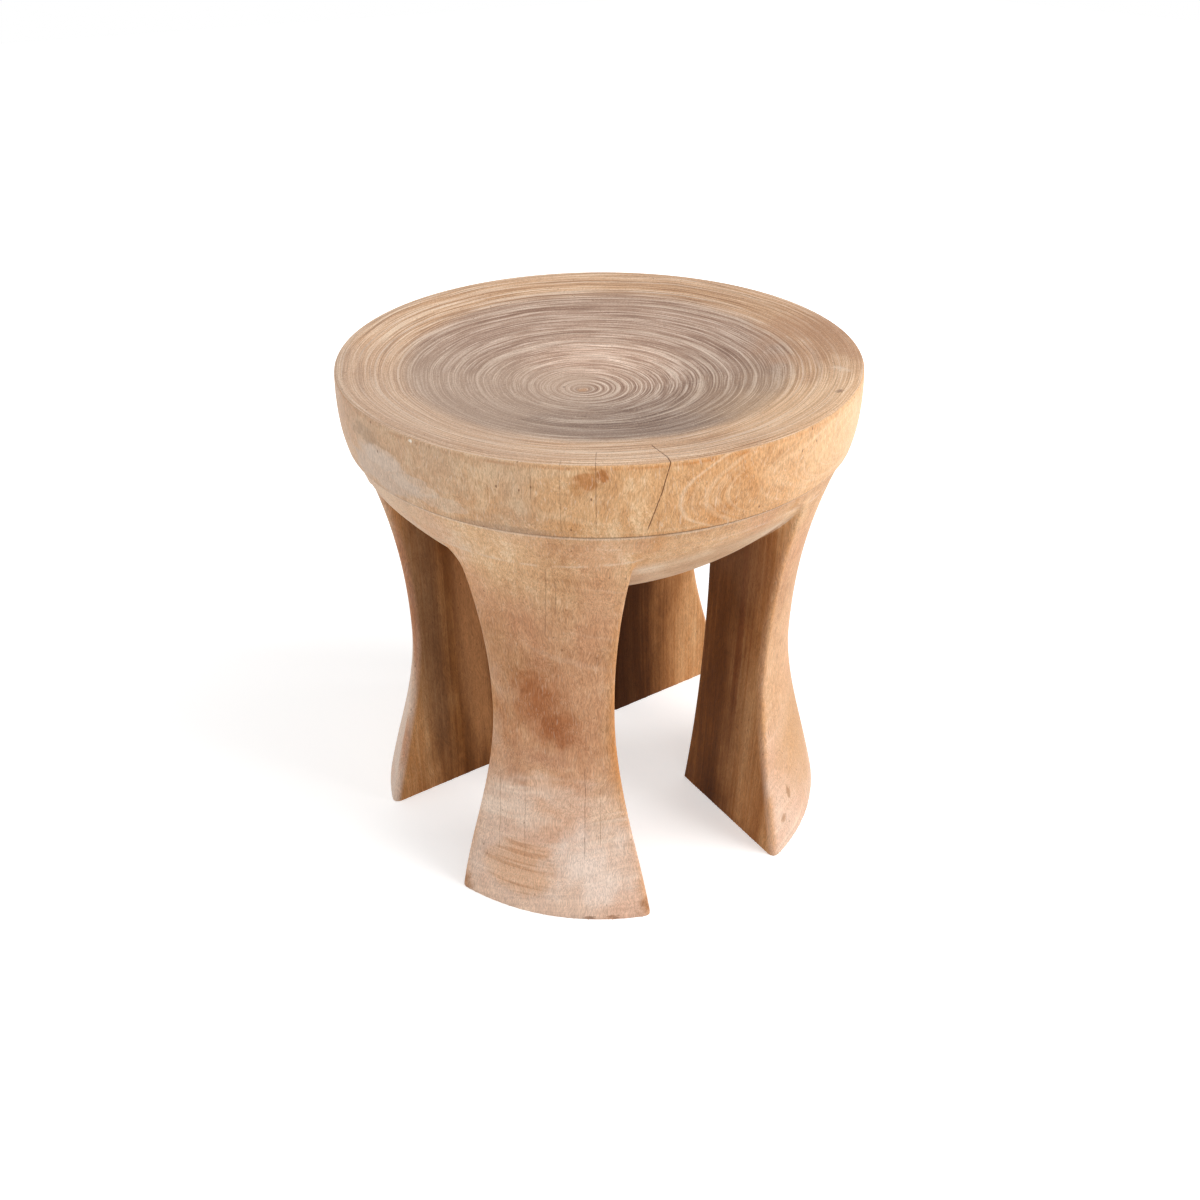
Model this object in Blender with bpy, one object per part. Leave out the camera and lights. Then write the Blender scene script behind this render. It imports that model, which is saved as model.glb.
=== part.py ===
"""Mango wood stool: a dished round seat, a domed crown under it and four flared legs, held by dowels.

Metres, +Z up. The origin is on the floor, under the middle of the seat. The two arches between the legs
run along X and along Y, so the legs stand at the corners.
"""

import math
from typing import NamedTuple

import bmesh
import bpy
from mathutils import Matrix, Vector

# Heights: the seat is measured down from the top, the crown down from the seat
stool_height = 0.410
seat_thickness = 0.0545
seat_belly_drop = 0.020
apron_depth = 0.0225
apron_edge_rise = 0.008
apron_edge_tilt = 0.007
bowl_depth = 0.097
waist_height = 0.175
seam_height = stool_height - seat_thickness
seat_belly_height = stool_height - seat_belly_drop
apron_edge_height = seam_height - apron_depth
bowl_bottom_height = apron_edge_height - bowl_depth

# Radii of the turned outside, from the seat down to the feet
rim_radius = 0.200
seat_belly_radius = 0.201
seat_seam_radius = 0.1968
crown_seam_radius = 0.195
waist_radius = 0.165
foot_radius = 0.201

# How fast the outside widens, as radius gained for height gained
seat_seam_slope_share = 0.30
seat_rim_slope_share = -0.10
crown_seam_slope_share = 0.38
foot_slope_share = -0.24

# The seat
dish_depth = 0.020
rim_land_width = 0.007
rim_edge_rounding = 0.002
seat_lower_edge_rounding = 0.001

# The crown
bowl_ball_radius = 0.2355
apron_edge_rounding = 0.007
apron_joint_rounding = 0.0006

# The arch walls, sawn by eye: how far each is from the middle of the stool at the waist and at the foot
front_left_waist_x = 0.0765
front_left_foot_x = 0.067
front_left_waist_y = 0.069
front_left_foot_y = 0.0635
front_right_waist_x = 0.057
front_right_foot_x = 0.0505
front_right_waist_y = 0.0755
front_right_foot_y = 0.064
back_right_waist_x = 0.057
back_right_foot_x = 0.0505
back_right_waist_y = 0.058
back_right_foot_y = 0.052
back_left_waist_x = 0.0765
back_left_foot_x = 0.067
back_left_waist_y = 0.0595
back_left_foot_y = 0.0515
arch_toe_start_height = 0.230
arch_flare = 0.014
arch_flare_depth = 0.037
arch_flare_start_height = apron_edge_height - arch_flare_depth

# The legs
leg_edge_rounding = 0.005
back_leg_edge_rounding = 0.018
leg_inner_corner_rounding = 0.005
foot_edge_rounding = 0.0015

# The dowels and their sockets
dowel_radius = 0.006
dowel_chamfer = 0.001
leg_dowel_length = 0.060
leg_dowel_circle_radius = 0.148
leg_dowel_spacing = 0.030
seat_dowel_length = 0.044
seat_dowel_circle_radius = 0.120

# Clearances
joint_gap = 0.0003
cutter_overrun = 0.010

# Points this near each other on the turning axis become one
merge_distance = 0.00005

# How far round from an arch towards a leg the apron's soft edge reaches, as a share of its full cosine
soft_edge_reach_share = 0.3

# How finely the curves are divided
turned_steps = 72
dish_steps = 6
side_steps = 4
edge_steps = 3
bowl_steps = 8
leg_arc_steps = 10
leg_edge_steps = 3
leg_wall_steps = 2
leg_levels = 24
dowel_sides = 16
legs_around = 4
sharp_edge_angle = math.radians(40)
apron_high_side_angle = math.radians(-45)

SEAT_COLOUR = (0.62, 0.43, 0.27, 1.0)
CROWN_COLOUR = (0.66, 0.47, 0.31, 1.0)
LEG_COLOUR = (0.60, 0.42, 0.29, 1.0)
DOWEL_COLOUR = (0.74, 0.60, 0.42, 1.0)
SEAT_ROUGHNESS = 0.55
BARE_WOOD_ROUGHNESS = 0.60


class Leg(NamedTuple):
    """One leg: its corner of the stool, its two walls as (at the waist, at the foot), and its outer edges."""

    name: str
    side_x: int
    side_y: int
    walls_x: tuple
    walls_y: tuple
    edge_rounding: float


LEGS = (
    Leg(
        "leg_front_left",
        -1,
        -1,
        (front_left_waist_x, front_left_foot_x),
        (front_left_waist_y, front_left_foot_y),
        leg_edge_rounding,
    ),
    Leg(
        "leg_front_right",
        1,
        -1,
        (front_right_waist_x, front_right_foot_x),
        (front_right_waist_y, front_right_foot_y),
        leg_edge_rounding,
    ),
    Leg(
        "leg_back_right",
        1,
        1,
        (back_right_waist_x, back_right_foot_x),
        (back_right_waist_y, back_right_foot_y),
        back_leg_edge_rounding,
    ),
    Leg(
        "leg_back_left",
        -1,
        1,
        (back_left_waist_x, back_left_foot_x),
        (back_left_waist_y, back_left_foot_y),
        leg_edge_rounding,
    ),
)


def clear_scene():
    """Remove whatever objects the file starts with."""
    for item in list(bpy.data.objects):
        bpy.data.objects.remove(item, do_unlink=True)


def wood(name, colour, roughness):
    """A bare wood material of one colour."""
    material = bpy.data.materials.new(name)
    material.use_nodes = True
    shader = material.node_tree.nodes["Principled BSDF"]
    shader.inputs["Base Color"].default_value = colour
    shader.inputs["Roughness"].default_value = roughness
    shader.inputs["Metallic"].default_value = 0.0
    return material


def blend(start, end, start_slope, end_slope, run, share):
    """A smooth curve from start to end over a run, leaving and arriving at the given slopes."""
    rest = 1 - share
    return (
        start * (1 + 2 * share) * rest**2
        + end * (1 + 2 * rest) * share**2
        + start_slope * run * share * rest**2
        - end_slope * run * rest * share**2
    )


def outside_radius(height):
    """Radius of the turned outside of the legs and the crown at a height."""
    if height < waist_height:
        share = height / waist_height
        return blend(foot_radius, waist_radius, foot_slope_share, 0, waist_height, share)
    run = seam_height - waist_height
    share = (height - waist_height) / run
    return blend(waist_radius, crown_seam_radius, 0, crown_seam_slope_share, run, share)


def seat_side_radius(height):
    """Radius of the side of the seat at a height."""
    if height < seat_belly_height:
        run = seat_thickness - seat_belly_drop
        share = (height - seam_height) / run
        return blend(seat_seam_radius, seat_belly_radius, seat_seam_slope_share, 0, run, share)
    share = (height - seat_belly_height) / seat_belly_drop
    return blend(seat_belly_radius, rim_radius, 0, seat_rim_slope_share, seat_belly_drop, share)


def arc(centre, radius, start_angle, end_angle, steps):
    """Points along a round corner, both ends included."""
    turn = (end_angle - start_angle) / steps
    angles = [start_angle + turn * step for step in range(steps + 1)]
    return [(centre[0] + radius * math.cos(a), centre[1] + radius * math.sin(a)) for a in angles]


def add_object(name, mesh, material):
    """Link a mesh into the scene as one named piece, shaded smooth between its sharp edges."""
    mesh.materials.append(material)
    mesh.shade_smooth()
    mesh.set_sharp_from_angle(angle=sharp_edge_angle)
    piece = bpy.data.objects.new(name, mesh)
    bpy.context.collection.objects.link(piece)
    return piece


def loft(name, rings):
    """A closed mesh through rings of points, from the lowest ring to the highest, with a flat cap at each end."""
    shape = bmesh.new()
    rows = [[shape.verts.new(point) for point in ring] for ring in rings]
    for lower, upper in zip(rows, rows[1:]):
        for i in range(len(lower)):
            following = (i + 1) % len(lower)
            shape.faces.new((lower[i], lower[following], upper[following], upper[i]))
    shape.faces.new(reversed(rows[0]))
    shape.faces.new(rows[-1])
    mesh = bpy.data.meshes.new(name)
    shape.to_mesh(mesh)
    shape.free()
    return mesh


def rod(name, radius, length, chamfer=0):
    """A closed upright cylinder about the origin, with chamfered ends if asked."""
    shape = bmesh.new()
    bmesh.ops.create_cone(
        shape, cap_ends=True, segments=dowel_sides, radius1=radius, radius2=radius, depth=length
    )
    if chamfer:
        ends = [e for e in shape.edges if abs(e.verts[0].co.z - e.verts[1].co.z) < length / 2]
        bmesh.ops.bevel(shape, geom=ends, offset=chamfer, segments=1, affect="EDGES")
    mesh = bpy.data.meshes.new(name)
    shape.to_mesh(mesh)
    shape.free()
    return mesh


def cut(piece, cutter):
    """Take the cutter's shape out of the piece, and keep the cutter as a hidden guide."""
    cutter.hide_render = True
    cutter.display_type = "WIRE"
    modifier = piece.modifiers.new(f"cut by {cutter.name}", "BOOLEAN")
    modifier.operation = "DIFFERENCE"
    modifier.solver = "EXACT"
    modifier.object = cutter


def seat_profile():
    """Half section of the seat as (radius, height), from the middle of the dish round to the underside."""
    land_start = rim_radius - rim_edge_rounding - rim_land_width
    ball = (land_start**2 + dish_depth**2) / (2 * dish_depth)
    dish = []
    for step in range(dish_steps):
        radius = land_start * step / dish_steps
        fall = dish_depth - (ball - math.sqrt(ball**2 - radius**2))
        dish.append((radius, stool_height - fall))
    dish.append((land_start, stool_height))
    corner = (rim_radius - rim_edge_rounding, stool_height - rim_edge_rounding)
    rim = arc(corner, rim_edge_rounding, math.pi / 2, 0, edge_steps)
    underside = seam_height + joint_gap
    low = underside + seat_lower_edge_rounding
    upper_run = corner[1] - seat_belly_height
    upper = [corner[1] - upper_run * step / side_steps for step in range(1, side_steps + 1)]
    lower_run = seat_belly_height - low
    lower = [seat_belly_height - lower_run * step / side_steps for step in range(1, side_steps + 1)]
    side = [(seat_side_radius(height), height) for height in upper + lower]
    edge_radius = seat_side_radius(low) - seat_lower_edge_rounding
    return dish + rim + side + [(edge_radius, underside), (0, underside)]


def make_seat(material):
    """The seat: one turned slab with a shallow dish in its top."""
    profile = seat_profile()
    mesh = bpy.data.meshes.new("seat")
    points = [(radius, 0, height) for radius, height in profile]
    edges = [(i, i + 1) for i in range(len(points) - 1)]
    mesh.from_pydata(points, edges, [])
    seat = add_object("seat", mesh, material)
    screw = seat.modifiers.new("turned", "SCREW")
    screw.angle = math.tau
    screw.steps = turned_steps
    screw.render_steps = turned_steps
    screw.use_merge_vertices = True
    screw.merge_threshold = merge_distance
    screw.use_smooth_shade = True
    return seat


def apron_edge_at(angle):
    """Height of the apron's lower edge round the crown: it rises over each arch, and towards the front right."""
    rise = apron_edge_rise * math.cos(legs_around * angle)
    tilt = apron_edge_tilt * math.cos(angle - apron_high_side_angle)
    return apron_edge_height + rise + tilt


def apron_rounding_at(angle):
    """Rounding of the apron's lower edge: full over an arch, nearly sharp where a leg joins."""
    openness = math.cos(legs_around * angle)
    share = max(0, (openness + soft_edge_reach_share) / (1 + soft_edge_reach_share))
    return apron_joint_rounding + (apron_edge_rounding - apron_joint_rounding) * share


def bowl_height(radius, edge_radius, edge_height):
    """Height of the domed underside at a radius, for an edge at the given radius and height."""
    full = bowl_ball_radius - math.sqrt(bowl_ball_radius**2 - edge_radius**2)
    here = bowl_ball_radius - math.sqrt(bowl_ball_radius**2 - radius**2)
    return bowl_bottom_height + (edge_height - bowl_bottom_height) * here / full


def bowl_points(angle):
    """Half section of the domed underside at an angle as (radius, height), up to the rounded apron edge."""
    edge_height = apron_edge_at(angle)
    edge_radius = outside_radius(edge_height)
    bowl_end = edge_radius - apron_rounding_at(angle)
    radii = [bowl_end * step / bowl_steps for step in range(1, bowl_steps + 1)]
    return [(radius, bowl_height(radius, edge_radius, edge_height)) for radius in radii]


def crown_column(angle):
    """Half section of the crown at an angle as (radius, height), from near the middle below to the seam."""
    column = bowl_points(angle)
    edge_height = apron_edge_at(angle)
    side_height = edge_height + apron_rounding_at(angle)
    start = Vector(column[-1])
    corner = Vector((outside_radius(edge_height), edge_height))
    end = Vector((outside_radius(side_height), side_height))
    for step in range(1, edge_steps + 1):
        share = step / edge_steps
        point = start * (1 - share) ** 2 + corner * 2 * share * (1 - share) + end * share**2
        column.append(tuple(point))
    middle_height = (side_height + seam_height) / 2
    column.append((outside_radius(middle_height), middle_height))
    column.append((crown_seam_radius, seam_height))
    return column


def rings_of(column_at):
    """Turn half sections, one for each angle, into rings of points about the stool's axis."""
    angles = [math.tau * step / turned_steps for step in range(turned_steps)]
    columns = [column_at(angle) for angle in angles]
    rings = []
    for row in range(len(columns[0])):
        ring = []
        for angle, column in zip(angles, columns):
            radius, height = column[row]
            ring.append((radius * math.cos(angle), radius * math.sin(angle), height))
        rings.append(ring)
    return rings


def make_crown(material):
    """The crown: a turned block with a domed underside and a low apron round it."""
    return add_object("crown", loft("crown", rings_of(crown_column)), material)


def leg_top_column(angle):
    """Half section of the space that the crown takes out of a leg, a gap larger than the crown itself."""
    column = []
    for radius, height in bowl_points(angle):
        steepness = bowl_ball_radius / math.sqrt(bowl_ball_radius**2 - radius**2)
        column.append((radius, height - joint_gap * steepness))
    edge_height = apron_edge_at(angle)
    outer = crown_seam_radius + cutter_overrun
    column.append((outside_radius(edge_height), edge_height - joint_gap))
    column.append((outer, edge_height - joint_gap))
    column.append((outer, seam_height + cutter_overrun))
    return column


def arch_wall(walls, height):
    """Distance of an arch's wall from the middle of the stool at a height."""
    waist_wall, foot_wall = walls
    if height < arch_toe_start_height:
        share = 1 - height / arch_toe_start_height
        return waist_wall + (foot_wall - waist_wall) * share**2
    if height > arch_flare_start_height:
        share = (height - arch_flare_start_height) / arch_flare_depth
        return waist_wall - arch_flare * share**2
    return waist_wall


def arris(wall, radius, rounding):
    """Where a flat wall meets the turned outside in a round edge: the arc's centre and its outer angle."""
    first = wall + rounding
    second = math.sqrt((radius - rounding) ** 2 - first**2)
    return (first, second), math.atan2(second, first)


def leg_section(leg, height, inset=0):
    """Outline of a leg at a height, as if it stood in the first quarter.

    It is the turned outside and two arch walls, with a rounded edge between each pair.
    """
    wall_x = arch_wall(leg.walls_x, height) + inset
    wall_y = arch_wall(leg.walls_y, height) + inset
    radius = outside_radius(height) - inset
    centre_a, outer_a = arris(wall_x, radius, leg.edge_rounding)
    centre_b, outer_b = arris(wall_y, radius, leg.edge_rounding)
    centre_b = (centre_b[1], centre_b[0])
    outer_b = math.pi / 2 - outer_b
    outline = arc((0, 0), radius, outer_b, outer_a, leg_arc_steps)[1:-1]
    outline += arc(centre_a, leg.edge_rounding, outer_a, math.pi, leg_edge_steps)
    corner = (wall_x + leg_inner_corner_rounding, wall_y + leg_inner_corner_rounding)
    for step in range(1, leg_wall_steps):
        share = step / leg_wall_steps
        outline.append((wall_x, centre_a[1] + (corner[1] - centre_a[1]) * share))
    outline += arc(corner, leg_inner_corner_rounding, math.pi, 3 * math.pi / 2, leg_edge_steps)
    for step in range(1, leg_wall_steps):
        share = step / leg_wall_steps
        outline.append((corner[0] + (centre_b[0] - corner[0]) * share, wall_y))
    outline += arc(centre_b, leg.edge_rounding, -math.pi / 2, outer_b, leg_edge_steps)
    return outline


def leg_ring(leg, height, inset=0):
    """The outline of a leg at a height, moved to its own corner of the stool."""
    placed = [(leg.side_x * x, leg.side_y * y, height) for x, y in leg_section(leg, height, inset)]
    return placed if leg.side_x * leg.side_y > 0 else placed[::-1]


def leg_middle(leg):
    """Direction from the middle of the stool to the middle of a leg's outside, just under the crown."""
    radius = outside_radius(arch_flare_start_height)
    wall_x = arch_wall(leg.walls_x, arch_flare_start_height)
    wall_y = arch_wall(leg.walls_y, arch_flare_start_height)
    middle = (math.acos(wall_x / radius) + math.asin(wall_y / radius)) / 2
    return math.atan2(leg.side_y * math.sin(middle), leg.side_x * math.cos(middle))


def make_leg(leg, leg_top, material):
    """One leg: a quarter of the turned outside between two arch walls, its top hollowed to fit the crown."""
    rise = (seam_height - foot_edge_rounding) / leg_levels
    heights = [foot_edge_rounding + rise * level for level in range(leg_levels + 1)]
    rings = [leg_ring(leg, 0, inset=foot_edge_rounding)]
    rings += [leg_ring(leg, height) for height in heights]
    piece = add_object(leg.name, loft(leg.name, rings), material)
    cut(piece, leg_top)
    return piece


def add_dowel(name, place, turn, length, joined, material):
    """One dowel at a place, and the socket for it in each piece that it joins."""
    dowel = add_object(name, rod(name, dowel_radius, length, dowel_chamfer), material)
    socket_name = f"{name}_socket"
    socket_mesh = rod(socket_name, dowel_radius + joint_gap, length + 2 * joint_gap)
    socket = bpy.data.objects.new(socket_name, socket_mesh)
    bpy.context.collection.objects.link(socket)
    for item in (dowel, socket):
        item.matrix_world = Matrix.Translation(place) @ Matrix.Rotation(turn, 4, "Z")
    for piece in joined:
        cut(piece, socket)


def dowel_leg(leg, piece, crown, material):
    """Two dowels side by side between a leg and the crown."""
    half_turn = math.asin(leg_dowel_spacing / 2 / leg_dowel_circle_radius)
    for word, sign in (("a", -1), ("b", 1)):
        angle = leg_middle(leg) + sign * half_turn
        edge_height = apron_edge_at(angle)
        height = bowl_height(leg_dowel_circle_radius, outside_radius(edge_height), edge_height)
        across = leg_dowel_circle_radius * Vector((math.cos(angle), math.sin(angle), 0))
        place = across + Vector((0, 0, height))
        add_dowel(f"{leg.name}_dowel_{word}", place, angle, leg_dowel_length, (piece, crown), material)


def dowel_seat(seat, crown, material):
    """Four dowels between the crown and the seat, one over each end of the arches."""
    for word, quarter in (("right", 0), ("back", 1), ("left", 2), ("front", 3)):
        angle = quarter * math.pi / 2
        across = seat_dowel_circle_radius * Vector((math.cos(angle), math.sin(angle), 0))
        place = across + Vector((0, 0, seam_height + joint_gap / 2))
        add_dowel(f"seat_dowel_{word}", place, angle, seat_dowel_length, (crown, seat), material)


def main():
    """Build the stool from its named pieces."""
    clear_scene()
    seat_wood = wood("mango wood seat", SEAT_COLOUR, SEAT_ROUGHNESS)
    crown_wood = wood("mango wood crown", CROWN_COLOUR, BARE_WOOD_ROUGHNESS)
    leg_wood = wood("mango wood leg", LEG_COLOUR, BARE_WOOD_ROUGHNESS)
    dowel_wood = wood("dowel wood", DOWEL_COLOUR, BARE_WOOD_ROUGHNESS)
    seat = make_seat(seat_wood)
    crown = make_crown(crown_wood)
    leg_top = bpy.data.objects.new("leg_top_cutter", loft("leg_top_cutter", rings_of(leg_top_column)))
    bpy.context.collection.objects.link(leg_top)
    for leg in LEGS:
        piece = make_leg(leg, leg_top, leg_wood)
        dowel_leg(leg, piece, crown, dowel_wood)
    dowel_seat(seat, crown, dowel_wood)


main()
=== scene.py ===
"""The looks of the mango wood stool: a dished end-grain seat, a domed crown and four flared legs.

Metres, +Z up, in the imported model's own frame. The origin is on the floor under the middle of the seat, the
two arches run along X and along Y, and the legs stand at the corners. The seat, the crown and the legs are
modelled again with sanded edges, hand-worked surfaces and one grain that runs on from piece to piece.
"""

import logging
import math
from dataclasses import dataclass
from enum import Enum
from typing import ClassVar

import bpy
import numpy as np
from mathutils import Euler, Matrix, Vector


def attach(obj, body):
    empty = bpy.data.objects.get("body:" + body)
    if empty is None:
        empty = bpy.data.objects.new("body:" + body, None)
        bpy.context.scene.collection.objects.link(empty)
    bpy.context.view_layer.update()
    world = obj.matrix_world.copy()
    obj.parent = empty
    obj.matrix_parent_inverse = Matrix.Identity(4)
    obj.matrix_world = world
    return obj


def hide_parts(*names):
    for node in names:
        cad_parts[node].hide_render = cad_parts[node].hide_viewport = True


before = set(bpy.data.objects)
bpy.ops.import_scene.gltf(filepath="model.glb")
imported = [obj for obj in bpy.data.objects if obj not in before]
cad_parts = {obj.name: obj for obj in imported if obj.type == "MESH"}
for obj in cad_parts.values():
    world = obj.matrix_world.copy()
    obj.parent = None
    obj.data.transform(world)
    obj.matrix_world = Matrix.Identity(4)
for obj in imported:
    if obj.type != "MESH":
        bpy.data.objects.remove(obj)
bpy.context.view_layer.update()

BODY = "root"
Reading = float | np.ndarray
log = logging.getLogger("stool")


# The shapes of the stool and the tools that cut them
class Side(Enum):
    """The four sides of the stool that an arch opens to, each with its heading about the upright axis."""

    RIGHT = 0.0
    BACK = math.pi / 2
    LEFT = math.pi
    FRONT = 3 * math.pi / 2


class Cut(Enum):
    """What a boolean keeps of a piece."""

    OUTSIDE = "DIFFERENCE"
    INSIDE = "INTERSECT"


@dataclass(frozen=True)
class Form:
    """The turned shape that the seat, the crown and the legs share, in metres."""

    height: float = 0.41
    seam_height: float = 0.3555
    belly_height: float = 0.39
    waist_height: float = 0.175
    rim_radius: float = 0.2
    belly_radius: float = 0.201
    seat_seam_radius: float = 0.1968
    crown_seam_radius: float = 0.195
    waist_radius: float = 0.165
    foot_radius: float = 0.201
    seat_seam_slope: float = 0.3
    rim_slope: float = -0.1
    crown_seam_slope: float = 0.38
    foot_slope: float = -0.24
    apron_edge_height: float = 0.333
    apron_rise: float = 0.008
    apron_tilt: float = 0.007
    apron_high_side: float = -math.pi / 4
    bowl_bottom_height: float = 0.236
    bowl_ball_radius: float = 0.2355
    legs_around: int = 4

    @staticmethod
    def blend(
        ends: tuple[float, float],
        slopes: tuple[float, float],
        low: float,
        high: float,
        height: Reading,
    ) -> Reading:
        """A smooth curve between two values that leaves and arrives at given slopes, and runs on straight.

        Args:
            ends: The values at the lower and at the upper height.
            slopes: The slopes there.
            low: The lower height.
            high: The upper height.
            height: The height or heights to read the curve at.

        Returns:
            The value or values there.
        """
        run = high - low
        share = np.clip((height - low) / run, 0, 1)
        rest = 1 - share
        level = ends[0] * (1 + 2 * share) * rest**2 + ends[1] * (1 + 2 * rest) * share**2
        level += slopes[0] * run * share * rest**2 - slopes[1] * run * rest * share**2
        return level + slopes[0] * np.minimum(height - low, 0) + slopes[1] * np.maximum(height - high, 0)

    def outside_radius(self, height: Reading) -> Reading:
        """Radius of the turned outside of the legs and the crown at a height, carried on past both ends.

        Args:
            height: Height above the floor.

        Returns:
            The radius.
        """
        ends, slopes = (self.foot_radius, self.waist_radius), (self.foot_slope, 0.0)
        lower = self.blend(ends, slopes, 0.0, self.waist_height, height)
        ends, slopes = (self.waist_radius, self.crown_seam_radius), (0.0, self.crown_seam_slope)
        upper = self.blend(ends, slopes, self.waist_height, self.seam_height, height)
        return np.where(height < self.waist_height, lower, upper)

    def seat_side_radius(self, height: Reading) -> Reading:
        """Radius of the bellied side of the seat at a height.

        Args:
            height: Height above the floor.

        Returns:
            The radius.
        """
        ends, slopes = (self.seat_seam_radius, self.belly_radius), (self.seat_seam_slope, 0.0)
        lower = self.blend(ends, slopes, self.seam_height, self.belly_height, height)
        ends, slopes = (self.belly_radius, self.rim_radius), (0.0, self.rim_slope)
        upper = self.blend(ends, slopes, self.belly_height, self.height, height)
        return np.where(height < self.belly_height, lower, upper)

    def apron_edge(self, angle: Reading, drop: float = 0.0, rise_share: float = 1.0) -> Reading:
        """Height of the apron's lower edge at an angle round the crown.

        Args:
            angle: The angle about the upright axis.
            drop: How much lower than the apron to read it.
            rise_share: How much of the apron's rise over each arch to keep.

        Returns:
            The height.
        """
        rise = rise_share * self.apron_rise * np.cos(self.legs_around * angle)
        tilt = self.apron_tilt * np.cos(angle - self.apron_high_side)
        return self.apron_edge_height - drop + rise + tilt

    def bowl_height(self, radius: Reading, edge_height: Reading, drop: float = 0.0) -> Reading:
        """Height of the domed underside of the crown.

        Args:
            radius: How far from the upright axis to read it.
            edge_height: Height of the apron's edge on that side.
            drop: How much lower the middle of the dome hangs.

        Returns:
            The height of the dome there, also past the apron's edge.
        """
        ball = self.bowl_ball_radius
        edge_radius = self.outside_radius(edge_height)
        full = ball - np.sqrt(ball**2 - edge_radius**2)
        here = ball - np.sqrt(ball**2 - radius**2)
        bottom = self.bowl_bottom_height - drop
        return bottom + (edge_height - bottom) * here / full


class Bench:
    """The modelling operators that every piece is shaped with, as at a bench in Blender."""

    first_size = 0.001
    weld = 0.00002
    saw_threshold = 0.000001
    cut_tolerance = 0.00001

    @staticmethod
    def clear_selection() -> None:
        """Leave edit mode and select nothing."""
        if bpy.context.object and bpy.context.object.mode != "OBJECT":
            bpy.ops.object.mode_set(mode="OBJECT")
        bpy.ops.object.select_all(action="DESELECT")

    @staticmethod
    def take(piece: bpy.types.Object) -> None:
        """Select one piece alone and make it active.

        Args:
            piece: The piece.
        """
        Bench.clear_selection()
        piece.select_set(True)
        bpy.context.view_layer.objects.active = piece

    @staticmethod
    def edit(piece: bpy.types.Object, kind: str = "FACE") -> None:
        """Open one piece in edit mode with all of it selected.

        Args:
            piece: The piece.
            kind: What to select: vertices, edges or faces.
        """
        Bench.take(piece)
        bpy.ops.object.mode_set(mode="EDIT")
        bpy.ops.mesh.select_mode(type=kind)
        bpy.ops.mesh.select_all(action="SELECT")

    @staticmethod
    def done() -> None:
        """Leave edit mode."""
        bpy.ops.object.mode_set(mode="OBJECT")

    @staticmethod
    def turn(name: str, profile: list[tuple[float, float]], steps: int) -> bpy.types.Object:
        """Turn a half section about the upright axis, as on a lathe.

        Args:
            name: The new piece's name.
            profile: (radius, height) points, which start and end on the axis.
            steps: How many steps the full turn has.

        Returns:
            The closed turned piece.
        """
        Bench.clear_selection()
        radius, height = profile[0]
        bpy.ops.mesh.primitive_plane_add(size=Bench.first_size, location=(radius, 0, height))
        piece = bpy.context.object
        piece.name = piece.data.name = name
        bpy.ops.object.transform_apply(location=True, rotation=True, scale=True)
        Bench.edit(piece, "VERT")
        bpy.ops.mesh.merge(type="CENTER")
        last = profile[0]
        for point in profile[1:]:
            move = (float(point[0] - last[0]), 0, float(point[1] - last[1]))
            bpy.ops.mesh.extrude_vertices_move(TRANSFORM_OT_translate={"value": move})
            last = point
        bpy.ops.mesh.select_all(action="SELECT")
        bpy.ops.mesh.spin(steps=steps, angle=math.tau, center=(0, 0, 0), axis=(0, 0, 1))
        bpy.ops.mesh.select_all(action="SELECT")
        bpy.ops.mesh.remove_doubles(threshold=Bench.weld)
        bpy.ops.mesh.normals_make_consistent(inside=False)
        Bench.done()
        return piece

    @staticmethod
    def keep(piece: bpy.types.Object, tool: bpy.types.Object, cut: Cut, solver: str = "EXACT") -> None:
        """Cut a piece with a tool, or keep only what lies inside the tool.

        Args:
            piece: The piece to cut.
            tool: The closed shape to cut with, which stays as it is.
            cut: What to keep.
            solver: The boolean's solver.
        """
        Bench.take(piece)
        modifier = piece.modifiers.new("cut", "BOOLEAN")
        modifier.operation = cut.value
        modifier.solver = solver
        modifier.object = tool
        bpy.ops.object.modifier_apply(modifier=modifier.name)

    @staticmethod
    def copy(piece: bpy.types.Object, name: str) -> bpy.types.Object:
        """A copy of a piece with a mesh of its own.

        Args:
            piece: The piece.
            name: Name of the copy.

        Returns:
            The copy.
        """
        twin = piece.copy()
        twin.data = piece.data.copy()
        twin.name = twin.data.name = name
        bpy.context.collection.objects.link(twin)
        return twin

    @staticmethod
    def remove(*pieces: bpy.types.Object) -> None:
        """Take away tools that have done their work.

        Args:
            *pieces: The tools.
        """
        for piece in pieces:
            mesh = piece.data
            bpy.data.objects.remove(piece, do_unlink=True)
            bpy.data.meshes.remove(mesh)

    @staticmethod
    def coordinates(piece: bpy.types.Object) -> np.ndarray:
        """The piece's vertices as rows of x, y and z.

        Args:
            piece: The piece.

        Returns:
            One row for each vertex.
        """
        points = np.empty(len(piece.data.vertices) * 3, np.float32)
        piece.data.vertices.foreach_get("co", points)
        return points.reshape(-1, 3).astype(float)

    @staticmethod
    def move_to(piece: bpy.types.Object, points: np.ndarray) -> None:
        """Put the piece's vertices at new places."""
        piece.data.vertices.foreach_set("co", points.astype(np.float32).ravel())
        piece.data.update()

    @staticmethod
    def paint(piece: bpy.types.Object, name: str, values: np.ndarray) -> None:
        """Store one value for each vertex under a name that a material can read."""
        attribute = piece.data.attributes.new(name, "FLOAT", "POINT")
        attribute.data.foreach_set("value", values.astype(np.float32))

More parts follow.
